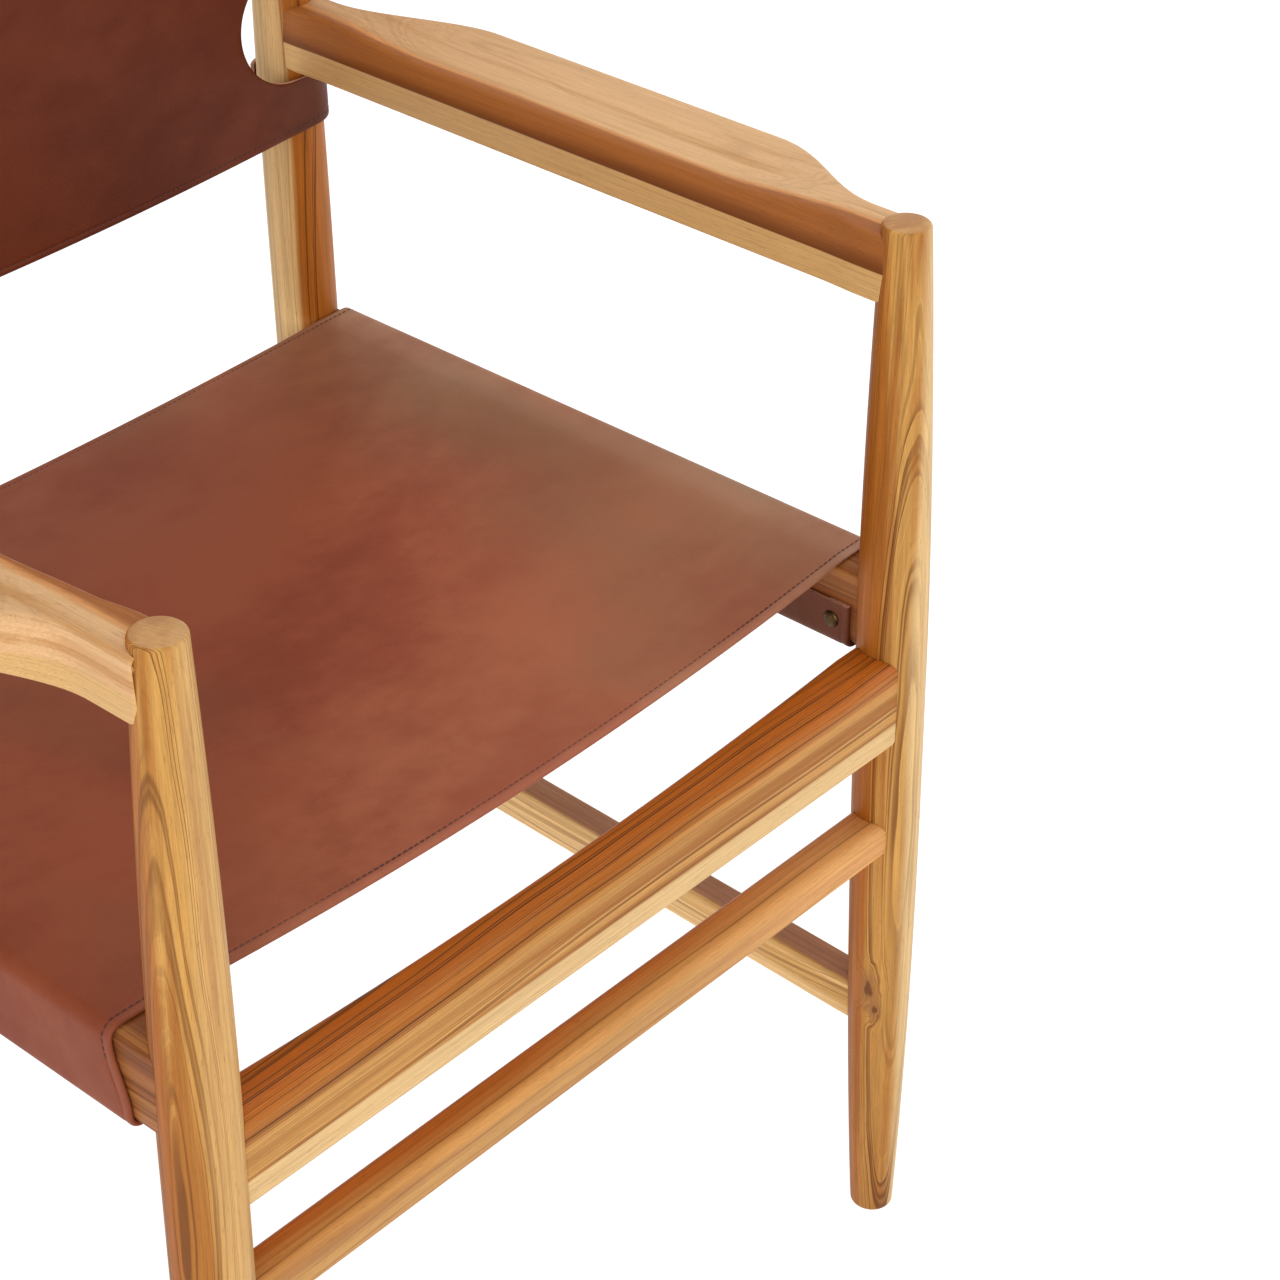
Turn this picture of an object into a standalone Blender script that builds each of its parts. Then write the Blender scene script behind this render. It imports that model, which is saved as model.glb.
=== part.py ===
"""Wooden dining armchair with a slung leather seat and a slung leather back.

Metres, +Z up. The chair faces -Y and +X is the viewer's right. The origin is on
the floor under the middle of the chair. Each side frame (front leg, back post,
seat rail, stretcher and arm) is flat, stands a little splayed and opens a little
towards the back. Its level pieces are modelled in the plane of the frame, where
x points outward, y runs from the front leg to the back post and z starts at the
seat level, and they are placed by an empty.
"""

import bpy
import bmesh
from math import atan, cos, pi, radians, sin, tan
from mathutils import Matrix, Vector

# Frame as a whole
LEG_SPACING = 0.492          # between the front leg axes, at seat level
FRAME_DEPTH = 0.453          # from front leg axis to back post axis, at seat level
SEAT_LEVEL = 0.450
SPLAY = radians(1.15)        # feet stand wider than the arms
TOE = radians(0.38)          # back of the chair is a little wider than the front
FRONT_RAKE = radians(0.4)
BACK_LEAN = radians(-0.4)    # feet stand a little wider than the seat, front to back
FIT = 0.0003                 # gap between pieces that touch

# Front legs and back posts
LEG_HEIGHT = 0.660
POST_HEIGHT = 0.800
BELLY_RADIUS = 0.0192
FOOT_RADIUS = 0.0126
LEG_TOP_RADIUS = 0.0126
POST_TOP_RADIUS = 0.0142
BELLY_LOW = 0.340            # the leg is at its thickest between these heights
LEG_BELLY_HIGH = 0.400
POST_BELLY_HIGH = 0.500
FOOT_TAPER_POWER = 2.3
TOP_TAPER_POWER = 1.8
END_ROUND = 0.0022
TOP_CROWN = 0.0008
LEG_SIDES = 28
TAPER_RINGS = 6
ROUND_STEPS = 3

# Front and back seat rails
RAIL_THICKNESS = 0.029
RAIL_BOTTOM = 0.3520
RAIL_LOW_TOP = 0.3998          # top edge at the lowest point of its scoop
RAIL_SCOOP = 0.0105
FRONT_RAIL_LOW_POINT = -0.030  # from the middle plane, as the photo shows it
BACK_RAIL_LOW_POINT = 0.0
RAIL_ROUND = 0.0068
RAIL_STATIONS = 10

# Front and back stretchers
STRETCHER_THICKNESS = 0.024
STRETCHER_HEIGHT = 0.0225
STRETCHER_BOTTOM = 0.2783
STRETCHER_ROUND = 0.0045

# Side rails, which the seat leather goes round
SIDE_RAIL_THICKNESS = 0.028
SIDE_RAIL_HEIGHT = 0.0465
SIDE_RAIL_TOP = 0.4505
SIDE_RAIL_FRONT_OFFSET = 0.0045  # outward of the leg axes
SIDE_RAIL_BACK_OFFSET = 0.0020
SIDE_RAIL_ROUND = 0.0045

# Side stretchers, which climb a little towards the back
SIDE_STRETCHER_THICKNESS = 0.0205
SIDE_STRETCHER_HEIGHT = 0.0285
SIDE_STRETCHER_FRONT = 0.1555
SIDE_STRETCHER_BACK = 0.1682
SIDE_STRETCHER_ROUND = 0.004

# Arms
ARM_BOTTOM = 0.6163
ARM_RIDGE = 0.635
ARM_TOP = 0.6485
ARM_END_TOP = 0.6540          # the top rises a little at the shoulders
ARM_EDGE_BOTTOM = 0.628      # underside at the outer edge of the paddle
ARM_END_EDGE_BOTTOM = 0.619  # and at the outer edge of either end
ARM_INNER_BOTTOM = 0.0120    # inward of the leg axes
ARM_INNER_RIDGE = 0.0125
ARM_INNER_TOP = 0.0075
ARM_FLARE_BOTTOM = 0.0010    # how much further inward the ends reach
ARM_FLARE_RIDGE = 0.0007
ARM_FLARE_TOP = 0.0045
ARM_FLARE_START = 0.017      # from either leg axis
ARM_FLARE_END = 0.045
ARM_END_WIDTH = 0.0160       # outward of the leg axes
ARM_PADDLE_WIDTH = 0.0560
ARM_SHOULDER_START = 0.029   # from either leg axis
ARM_SHOULDER_END = 0.121
ARM_ROUND = 0.004
ARM_EDGE_ROUND = 0.0065
ARM_SHOULDER_STEPS = 7

# Tenons, each a flat tongue inside a mortise of its leg
TENON_THICKNESS = 0.012
TENON_REACH = 0.008          # past the leg axis
TENON_ROOT = 0.034           # back from the leg axis, inside its own piece
RAIL_TENON_HEIGHT = 0.024
SIDE_RAIL_TENON_HEIGHT = 0.022
STRETCHER_TENON_HEIGHT = 0.012
ARM_TENON_HEIGHT = 0.014
ARM_TENON_REACH = 0.006

# Leather
LEATHER = 0.003
FLAP_TOP = 0.429             # where the seat flap ends on the inside of its rail
SEAT_CLEARANCE = 0.0008      # from its front and back edges to the legs and posts
SEAT_EDGE_SETBACK = 0.010    # the front hem stands back of the flaps by this much
SEAT_SAG = 0.013
SEAT_MIDDLE_SAG = 0.0165
SEAT_BACK_SAG = 0.006
SEAT_SPAN_STEPS = 8
SEAT_STATIONS = 6
BEND_STEPS = 3
SAG_BEND_STEPS = 1

BACK_BOTTOM = 0.580
BACK_TOP_SETBACK = 0.020     # below the top of the posts
BACK_DIP = 0.0125            # the hems hang lower in the middle
BACK_BOW = 0.004
BACK_END_ANGLE = radians(132)  # where the wrapped end stops, round the post
BACK_WRAP_STEPS = 12
BACK_SPAN_STEPS = 6
BACK_LEVELS = 4
NOTCH_RADIUS = 0.0365
NOTCH_CENTRE = 0.2315        # from the middle plane of the chair
NOTCH_BOTTOM = 0.612
NOTCH_STEPS = 12

# Brass studs
STUD_HEAD_RADIUS = 0.005
STUD_HEAD_HEIGHT = 0.002
STUD_RIM = 0.0006
STUD_SHANK_RADIUS = 0.0015
STUD_LENGTH = 0.012          # under the head
STUD_SIDES = 10
STUD_DOME_STEPS = 3
SEAT_STUDS = 5
SEAT_STUD_LEVEL = 0.4178
SEAT_STUD_INSET = 0.011      # from the ends of the flap
BACK_LOW_STUD_RISE = 0.016   # lowest stud, above the bottom edge of the leather
BACK_STUD_DROPS = (0.076, 0.019)  # other studs, below its top edge

# Cutters run past what they cut by this much
OVERRUN = 0.010

# Front and back edges of the seat leather, from the front leg axis
SEAT_FRONT = BELLY_RADIUS + SEAT_CLEARANCE
POST_LEAN_AT_FLAP = (SEAT_LEVEL - SIDE_RAIL_TOP + SIDE_RAIL_HEIGHT + LEATHER) * tan(BACK_LEAN)
SEAT_BACK = FRAME_DEPTH - POST_LEAN_AT_FLAP - BELLY_RADIUS - SEAT_CLEARANCE

BACK_TOP = POST_HEIGHT - BACK_TOP_SETBACK

# How far things reach out of the frame, for the origin under the middle
BACK_REACH = (BACK_BOTTOM - SEAT_LEVEL) * tan(BACK_LEAN) + BELLY_RADIUS + LEATHER + STUD_HEAD_HEIGHT
FRONT_Y = -(FRAME_DEPTH + BACK_REACH - BELLY_RADIUS) / 2

SIDES = {"right": 1, "left": -1}


def clear_scene():
    for old in list(bpy.data.objects):
        bpy.data.objects.remove(old)


def make_material(name, colour, roughness, metallic=0.0):
    material = bpy.data.materials.new(name)
    material.use_nodes = True
    shader = material.node_tree.nodes["Principled BSDF"]
    shader.inputs["Base Color"].default_value = (*colour, 1.0)
    shader.inputs["Roughness"].default_value = roughness
    shader.inputs["Metallic"].default_value = metallic
    return material


def side_frame(side):
    """Matrix from the plane of a side frame to the chair."""
    place = Matrix.Translation((side * LEG_SPACING / 2, FRONT_Y, SEAT_LEVEL))
    return place @ Matrix.Rotation(-side * TOE, 4, "Z") @ Matrix.Rotation(-side * SPLAY, 4, "Y")


def axis_point(side, at_back, height):
    """Point of a leg's axis at a height above the floor."""
    local_z = (height - SEAT_LEVEL) / cos(SPLAY)
    if at_back:
        local_y = FRAME_DEPTH + local_z * tan(BACK_LEAN)
    else:
        local_y = local_z * tan(FRONT_RAKE)
    return side_frame(side) @ Vector((0, local_y, local_z))


def taper(height, thick_at, thin_at, thin_radius, power):
    share = (height - thick_at) / (thin_at - thick_at)
    return BELLY_RADIUS - (BELLY_RADIUS - thin_radius) * max(share, 0) ** power


def leg_radius(height, at_back):
    if height < BELLY_LOW:
        return taper(height, BELLY_LOW, 0, FOOT_RADIUS, FOOT_TAPER_POWER)
    if at_back:
        return taper(height, POST_BELLY_HIGH, POST_HEIGHT, POST_TOP_RADIUS, TOP_TAPER_POWER)
    return taper(height, LEG_BELLY_HIGH, LEG_HEIGHT, LEG_TOP_RADIUS, TOP_TAPER_POWER)


def leg_profile(at_back, grow):
    """Heights and radii of a turned leg from the floor to its crowned top."""
    top = POST_HEIGHT if at_back else LEG_HEIGHT
    belly_high = POST_BELLY_HIGH if at_back else LEG_BELLY_HIGH
    profile = []
    for step in range(ROUND_STEPS):
        turn = (pi / 2) * step / ROUND_STEPS
        height = END_ROUND * (1 - cos(turn))
        profile.append((height, leg_radius(height, at_back) - END_ROUND * (1 - sin(turn))))
    for step in range(TAPER_RINGS + 1):
        height = END_ROUND + (BELLY_LOW - END_ROUND) * step / TAPER_RINGS
        profile.append((height, leg_radius(height, at_back)))
    for step in range(TAPER_RINGS + 1):
        height = belly_high + (top - END_ROUND - TOP_CROWN - belly_high) * step / TAPER_RINGS
        profile.append((height, leg_radius(height, at_back)))
    edge = top - END_ROUND - TOP_CROWN
    for step in range(1, ROUND_STEPS + 1):
        turn = (pi / 2) * step / ROUND_STEPS
        rounded = leg_radius(edge, at_back) - END_ROUND * (1 - cos(turn))
        profile.append((edge + END_ROUND * sin(turn), rounded))
    profile.append((top, leg_radius(edge, at_back) / 2))
    return [(height, radius + grow) for height, radius in profile]


def loft(name, rings):
    """Closed solid through rings of equal length, with flat ends."""
    mesh = bpy.data.meshes.new(name)
    shape = bmesh.new()
    loops = [[shape.verts.new(point) for point in ring] for ring in rings]
    count = len(loops[0])
    for lower, upper in zip(loops, loops[1:]):
        for i in range(count):
            after = (i + 1) % count
            shape.faces.new((lower[i], lower[after], upper[after], upper[i]))
    shape.faces.new(list(reversed(loops[0])))
    shape.faces.new(loops[-1])
    bmesh.ops.recalc_face_normals(shape, faces=shape.faces)
    shape.to_mesh(mesh)
    shape.free()
    return mesh


def joined(name, solids):
    """One mesh of several lofted solids that stay apart."""
    shape = bmesh.new()
    for rings in solids:
        shape.from_mesh(loft(name + "_part", rings))
    mesh = bpy.data.meshes.new(name)
    shape.to_mesh(mesh)
    shape.free()
    return mesh


def box_rings(matrix, size, grow):
    """Lower and upper face of a box with its centre at the matrix."""
    half_x, half_y, half_z = [length / 2 + grow for length in size]
    corners = [(-half_x, -half_y), (half_x, -half_y), (half_x, half_y), (-half_x, half_y)]
    return [[matrix @ Vector((x, y, z)) for x, y in corners] for z in (-half_z, half_z)]


def boxes_mesh(name, boxes, grow=0.0):
    return joined(name, [box_rings(matrix, size, grow) for matrix, size in boxes])


def smooth(mesh, angle=radians(35)):
    mesh.shade_smooth()
    mesh.set_sharp_from_angle(angle=angle)


def add_piece(name, mesh, material, place=None, parent=None):
    piece = bpy.data.objects.new(name, mesh)
    bpy.context.scene.collection.objects.link(piece)
    mesh.materials.append(material)
    if parent:
        piece.parent = parent
    elif place:
        piece.matrix_world = place
    return piece


def add_tool(name, mesh):
    tool = bpy.data.objects.new(name, mesh)
    bpy.context.scene.collection.objects.link(tool)
    tool.hide_render = True
    tool.display_type = "WIRE"
    return tool


def combine(piece, tool, operation):
    change = piece.modifiers.new(tool.name, "BOOLEAN")
    change.object = tool
    change.operation = operation
    change.solver = "EXACT"


def circle(radius, sides, height=0.0, centre=(0, 0)):
    turns = [2 * pi * i / sides for i in range(sides)]
    return [(centre[0] + radius * cos(t), centre[1] + radius * sin(t), height) for t in turns]


def arc(centre, radius, start, end, steps):
    turns = [start + (end - start) * i / steps for i in range(steps + 1)]
    return [(centre[0] + radius * cos(t), centre[1] + radius * sin(t)) for t in turns]


def rounded_outline(corners):
    """Outline through rounded corners, each given as x, y and its radius."""
    outline = []
    for i, (x, y, radius) in enumerate(corners):
        corner = Vector((x, y))
        before = (Vector(corners[i - 1][:2]) - corner).normalized()
        after = (Vector(corners[(i + 1) % len(corners)][:2]) - corner).normalized()
        half = before.angle(after) / 2
        setback = radius / tan(half)
        centre = corner + (before + after).normalized() * radius / sin(half)
        first = (corner + before * setback - centre).normalized()
        last = (corner + after * setback - centre).normalized()
        for step in range(ROUND_STEPS + 1):
            spoke = first.slerp(last, step / ROUND_STEPS)
            outline.append(tuple(centre + spoke * radius))
    return outline


def bar_section(left, right, bottom, top, radius):
    corners = [(left, bottom, radius), (right, bottom, radius), (right, top, radius), (left, top, radius)]
    return rounded_outline(corners)


def leg_solid(name, side, at_back, grow=0.0):
    """Turned leg on its leaning axis, with level rings so that its foot lies flat."""
    rings = []
    for height, radius in leg_profile(at_back, grow):
        middle = axis_point(side, at_back, height)
        rings.append(circle(radius, LEG_SIDES, middle.z, (middle.x, middle.y)))
    return loft(name, rings)


def cross_tenon(side, at_back, height, tall):
    """Tongue of a front or back cross piece, as a box across the leg axis."""
    middle = axis_point(side, at_back, height)
    length = TENON_ROOT + TENON_REACH
    centre = Vector((middle.x - side * (TENON_ROOT - TENON_REACH) / 2, middle.y, height))
    return Matrix.Translation(centre), (length, TENON_THICKNESS, tall)


def side_tenon(side, at_back, height, tall, reach=TENON_REACH):
    """Tongue of a side rail, side stretcher or arm, in the plane of its frame."""
    frame = side_frame(side)
    local = frame.inverted() @ axis_point(side, at_back, height)
    inward = -1 if at_back else 1
    length = TENON_ROOT + reach
    centre = Vector((0, local.y + inward * (TENON_ROOT - reach) / 2, local.z))
    return frame @ Matrix.Translation(centre), (TENON_THICKNESS, length, tall)


def rail_tenon_level():
    return (RAIL_BOTTOM + RAIL_LOW_TOP + RAIL_SCOOP) / 2


def stretcher_level():
    return STRETCHER_BOTTOM + STRETCHER_HEIGHT / 2


def side_rail_level():
    return SIDE_RAIL_TOP - SIDE_RAIL_HEIGHT / 2


def arm_level():
    return (ARM_BOTTOM + ARM_TOP) / 2


def side_stretcher_level(at_back):
    return SIDE_STRETCHER_BACK if at_back else SIDE_STRETCHER_FRONT


def leg_tenons(side, at_back):
    """Every tongue that one leg receives."""
    return {
        "rail": cross_tenon(side, at_back, rail_tenon_level(), RAIL_TENON_HEIGHT),
        "stretcher": cross_tenon(side, at_back, stretcher_level(), STRETCHER_TENON_HEIGHT),
        "side_rail": side_tenon(side, at_back, side_rail_level(), SIDE_RAIL_TENON_HEIGHT),
        "side_stretcher": side_tenon(side, at_back, side_stretcher_level(at_back), STRETCHER_TENON_HEIGHT),
        "arm": side_tenon(side, at_back, arm_level(), ARM_TENON_HEIGHT, ARM_TENON_REACH),
    }


def fit_between(piece, name, first_leg, second_leg, tenons):
    """Cope both ends of a blank to its legs and add its tongues."""
    combine(piece, first_leg, "DIFFERENCE")
    combine(piece, second_leg, "DIFFERENCE")
    combine(piece, add_tool(name + "_tenons", boxes_mesh(name + "_tenons", tenons)), "UNION")


def build_legs(wood):
    """Legs and posts with their mortises, and the clearance shape of each."""
    clearances = {}
    for side_name, side in SIDES.items():
        for at_back in (False, True):
            name = ("back_post_" if at_back else "front_leg_") + side_name
            mesh = leg_solid(name, side, at_back)
            smooth(mesh)
            leg = add_piece(name, mesh, wood)
            sockets = list(leg_tenons(side, at_back).values())
            combine(leg, add_tool(name + "_mortises", boxes_mesh(name + "_mortises", sockets, FIT)), "DIFFERENCE")
            if at_back:
                holes = [stud_hole(place) for place in back_stud_places(side)]
                combine(leg, add_tool(name + "_stud_holes", joined(name + "_stud_holes", holes)), "DIFFERENCE")
            clearance = leg_solid(name + "_clearance", side, at_back, FIT)
            clearances[side_name, at_back] = add_tool(name + "_clearance", clearance)
    return clearances


def build_cross_rail(name, at_back, wood, clearances):
    """Thick seat rail, scooped along its top edge to clear the sagging seat."""
    middle = axis_point(1, at_back, rail_tenon_level())
    low_point = BACK_RAIL_LOW_POINT if at_back else FRONT_RAIL_LOW_POINT
    half = RAIL_THICKNESS / 2
    rings = []
    for station in range(RAIL_STATIONS + 1):
        share = 2 * station / RAIL_STATIONS - 1
        rise = share - low_point / middle.x
        top = RAIL_LOW_TOP + RAIL_SCOOP * rise * rise
        section = bar_section(middle.y - half, middle.y + half, RAIL_BOTTOM, top, RAIL_ROUND)
        rings.append([(share * middle.x, y, z) for y, z in section])
    mesh = loft(name, rings)
    smooth(mesh)
    rail = add_piece(name, mesh, wood)
    tenons = [leg_tenons(side, at_back)["rail"] for side in SIDES.values()]
    fit_between(rail, name, clearances["left", at_back], clearances["right", at_back], tenons)


def build_cross_stretcher(name, at_back, wood, clearances):
    middle = axis_point(1, at_back, stretcher_level())
    half = STRETCHER_THICKNESS / 2
    top = STRETCHER_BOTTOM + STRETCHER_HEIGHT
    section = bar_section(middle.y - half, middle.y + half, STRETCHER_BOTTOM, top, STRETCHER_ROUND)
    mesh = loft(name, [[(x, y, z) for y, z in section] for x in (-middle.x, middle.x)])
    smooth(mesh)
    stretcher = add_piece(name, mesh, wood)
    tenons = [leg_tenons(side, at_back)["stretcher"] for side in SIDES.values()]
    fit_between(stretcher, name, clearances["left", at_back], clearances["right", at_back], tenons)


def local_span(side, height_front, height_back):
    """Axis points of both legs in the plane of the frame."""
    inverse = side_frame(side).inverted()
    return inverse @ axis_point(side, False, height_front), inverse @ axis_point(side, True, height_back)


def build_side_bar(name, side_name, wood, empty, clearances, sizes):
    """Straight bar of a side frame, given by its thickness, height, round, and two ends."""
    thickness, height, radius, front, back, key = sizes
    side = SIDES[side_name]
    section = bar_section(-thickness / 2, thickness / 2, -height / 2, height / 2, radius)
    start, end = local_span(side, front[0], back[0])
    rings = []
    for point, offset in ((start, front[1]), (end, back[1])):
        rings.append([(side * offset + x, point.y, point.z + z) for x, z in section])
    mesh = loft(name, rings)
    smooth(mesh)
    bar = add_piece(name, mesh, wood, parent=empty)
    tenons = [leg_tenons(side, at_back)[key] for at_back in (False, True)]
    fit_between(bar, name, clearances[side_name, False], clearances[side_name, True], tenons)
    return bar


def rail_offset(local_y):
    """Middle of the side rail, outward of the frame's plane."""
    return SIDE_RAIL_FRONT_OFFSET + (SIDE_RAIL_BACK_OFFSET - SIDE_RAIL_FRONT_OFFSET) * local_y / FRAME_DEPTH


def build_side_rail(side_name, wood, empty, clearances):
    front = (side_rail_level(), SIDE_RAIL_FRONT_OFFSET)
    back = (side_rail_level(), SIDE_RAIL_BACK_OFFSET)
    sizes = (SIDE_RAIL_THICKNESS, SIDE_RAIL_HEIGHT, SIDE_RAIL_ROUND, front, back, "side_rail")
    name = "side_rail_" + side_name
    rail = build_side_bar(name, side_name, wood, empty, clearances, sizes)
    holes = [stud_hole(place) for place in seat_stud_places(SIDES[side_name])]
    combine(rail, add_tool(name + "_stud_holes", joined(name + "_stud_holes", holes)), "DIFFERENCE")


def build_side_stretcher(side_name, wood, empty, clearances):
    front = (SIDE_STRETCHER_FRONT, 0)
    back = (SIDE_STRETCHER_BACK, 0)
    sizes = (SIDE_STRETCHER_THICKNESS, SIDE_STRETCHER_HEIGHT, SIDE_STRETCHER_ROUND, front, back, "side_stretcher")
    build_side_bar("side_stretcher_" + side_name, side_name, wood, empty, clearances, sizes)


def ease(share):
    share = min(max(share, 0), 1)
    return share * share * (3 - 2 * share)


def arm_width(from_end):
    """Outer edge of the arm, which swells from its ends into a paddle."""
    share = (from_end - ARM_SHOULDER_START) / (ARM_SHOULDER_END - ARM_SHOULDER_START)
    return ARM_END_WIDTH + (ARM_PADDLE_WIDTH - ARM_END_WIDTH) * ease(share)


def arm_flare(from_end):
    """How far the inner face has swung out to the side of the leg, from 0 to 1."""
    return ease((ARM_FLARE_END - from_end) / (ARM_FLARE_END - ARM_FLARE_START))


def arm_section(side, outer, flare):
    """Section of the arm: ridged inner face, flat top, thinner outer edge."""
    swell = (outer - ARM_END_WIDTH) / (ARM_PADDLE_WIDTH - ARM_END_WIDTH)
    bottom = ARM_BOTTOM - SEAT_LEVEL
    ridge = ARM_RIDGE - SEAT_LEVEL
    top = ARM_END_TOP + (ARM_TOP - ARM_END_TOP) * swell - SEAT_LEVEL
    edge_round = ARM_ROUND + (ARM_EDGE_ROUND - ARM_ROUND) * swell
    edge_bottom = ARM_END_EDGE_BOTTOM + (ARM_EDGE_BOTTOM - ARM_END_EDGE_BOTTOM) * swell - SEAT_LEVEL
    corners = [
        (-ARM_INNER_BOTTOM - ARM_FLARE_BOTTOM * flare, bottom, ARM_ROUND),
        (0, bottom, ARM_ROUND),
        (outer - ARM_ROUND / 2, edge_bottom, edge_round),
        (outer, top, edge_round),
        (-ARM_INNER_TOP - ARM_FLARE_TOP * flare, top, ARM_ROUND),
        (-ARM_INNER_RIDGE - ARM_FLARE_RIDGE * flare, ridge, ARM_ROUND),
    ]
    return [(side * x, z) for x, z in rounded_outline(corners)]


def build_arm(side_name, wood, empty, clearances):
    side = SIDES[side_name]
    name = "arm_" + side_name
    start, end = local_span(side, arm_level(), arm_level())
    length = end.y - start.y
    steps = range(ARM_SHOULDER_STEPS + 1)
    run = ARM_SHOULDER_END - ARM_SHOULDER_START
    places = [0.0, ARM_FLARE_START]
    places += [ARM_SHOULDER_START + run * step / ARM_SHOULDER_STEPS for step in steps]
    places += [length - place for place in reversed(places)]
    rings = []
    for place in places:
        from_end = min(place, length - place)
        section = arm_section(side, arm_width(from_end), arm_flare(from_end))
        rings.append([(x, start.y + place, z) for x, z in section])
    mesh = loft(name, rings)
    smooth(mesh)
    arm = add_piece(name, mesh, wood, parent=empty)
    tenons = [leg_tenons(side, at_back)["arm"] for at_back in (False, True)]
    fit_between(arm, name, clearances[side_name, False], clearances[side_name, True], tenons)


def thicken(path, thickness):
    """Closed outline of a strip whose middle line is the open path."""
    points = [Vector(point) for point in path]
    left, right = [], []
    for i, point in enumerate(points):
        along = points[min(i + 1, len(points) - 1)] - points[max(i - 1, 0)]
        across = Vector((-along.y, along.x)).normalized() * thickness / 2
        left.append(point + across)
        right.append(point - across)
    return left + right[::-1]


def seat_path(side, local_y, sag):
    """Right half of the seat's middle line: flap, turns round the rail, half the span."""
    frame = side_frame(side)
    lift = FIT + LEATHER / 2
    inner = rail_offset(local_y) - SIDE_RAIL_THICKNESS / 2
    outer = rail_offset(local_y) + SIDE_RAIL_THICKNESS / 2
    top = SIDE_RAIL_TOP - SEAT_LEVEL
    bottom = top - SIDE_RAIL_HEIGHT
    bend = SIDE_RAIL_ROUND + lift
    slope = atan(2 * sag / (LEG_SPACING / 2 - SIDE_RAIL_THICKNESS / 2))
    low_in = (inner + SIDE_RAIL_ROUND, bottom + SIDE_RAIL_ROUND)
    low_out = (outer - SIDE_RAIL_ROUND, bottom + SIDE_RAIL_ROUND)
    high_out = (outer - SIDE_RAIL_ROUND, top - SIDE_RAIL_ROUND)
    high_in = (inner + SIDE_RAIL_ROUND, top - SIDE_RAIL_ROUND)
    path = [(inner - lift, FLAP_TOP - SEAT_LEVEL)]
    path += arc(low_in, bend, pi, 3 * pi / 2, BEND_STEPS)
    path += arc(low_out, bend, -pi / 2, 0, BEND_STEPS)
    path += arc(high_out, bend, 0, pi / 2, BEND_STEPS)
    path += arc(high_in, bend, pi / 2, pi / 2 + slope, SAG_BEND_STEPS)
    placed = [frame @ Vector((x, local_y, z)) for x, z in path]
    edge = placed[-1]
    for step in range(1, SEAT_SPAN_STEPS + 1):
        x = edge.x * (1 - step / SEAT_SPAN_STEPS)
        drop = sag * (1 - (x / edge.x) ** 2)
        placed.append(Vector((x, edge.y, edge.z - drop)))
    return placed


def seat_sag(share):
    """Depth of the seat's hollow at a share of its way from front to back."""
    edges = SEAT_SAG + (SEAT_BACK_SAG - SEAT_SAG) * share
    return edges + (SEAT_MIDDLE_SAG - (SEAT_SAG + SEAT_BACK_SAG) / 2) * sin(pi * share)


def seat_hem(share, stands_back):
    """Place of a point along y: the front hem stands back of the flaps."""
    front = SEAT_FRONT + SEAT_EDGE_SETBACK * stands_back
    return FRONT_Y + front + (SEAT_BACK - front) * share


def build_seat(leather):
    under_rail = 1 + 2 * (BEND_STEPS + 1)
    rings = []
    for station in range(SEAT_STATIONS + 1):
        share = station / SEAT_STATIONS
        local_y = SEAT_FRONT + (SEAT_BACK - SEAT_FRONT) * share
        half = seat_path(1, local_y, seat_sag(share))
        middle = [(point.x, point.z) for point in half]
        middle += [(-x, z) for x, z in reversed(middle[:-1])]
        stands_back = [0] * under_rail + [1] * (len(half) - under_rail)
        stands_back += stands_back[-2::-1]
        places = zip(thicken(middle, LEATHER), stands_back + stands_back[::-1])
        rings.append([(x, seat_hem(share, back), z) for (x, z), back in places])
    mesh = loft("seat_sling", rings)
    smooth(mesh)
    seat = add_piece("seat_sling", mesh, leather)
    holes = [stud_hole(place) for side in SIDES.values() for place in seat_stud_places(side)]
    combine(seat, add_tool("seat_sling_holes", joined("seat_sling_holes", holes)), "DIFFERENCE")


def back_path(height):
    """Middle line of the back leather in plan at one height, from one wrapped end to the other."""
    post = axis_point(1, True, height)
    reach = leg_radius(height, True) + FIT + LEATHER / 2
    half = arc((post.x, post.y), reach, BACK_END_ANGLE, -pi / 2, BACK_WRAP_STEPS)
    for step in range(1, BACK_SPAN_STEPS + 1):
        x = post.x * (1 - step / BACK_SPAN_STEPS)
        half.append((x, post.y - reach + BACK_BOW * (1 - (x / post.x) ** 2)))
    return half + [(-x, y) for x, y in reversed(half[:-1])]


def back_drop(x, y, height):
    """How far a point of the front layer hangs below its level at the posts."""
    post = axis_point(1, True, height)
    if y > post.y or abs(x) > post.x:
        return 0.0
    return BACK_DIP * (1 - (x / post.x) ** 2)


def notch_solid(side):
    """Opening for the arm, with a round inner end, cut through both layers."""
    low = axis_point(side, True, NOTCH_BOTTOM)
    depth = 2 * (BELLY_RADIUS + LEATHER + OVERRUN)
    centre = (NOTCH_CENTRE, NOTCH_BOTTOM + NOTCH_RADIUS)
    outline = arc(centre, NOTCH_RADIUS, pi / 2, 3 * pi / 2, NOTCH_STEPS)
    outer = abs(low.x) + BELLY_RADIUS + LEATHER + OVERRUN
    outline += [(outer, NOTCH_BOTTOM), (outer, NOTCH_BOTTOM + 2 * NOTCH_RADIUS)]
    rings = []
    for y in (low.y - depth / 2, low.y + depth / 2):
        rings.append([(side * x, y, z) for x, z in outline])
    return loft("notch", rings)


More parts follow.
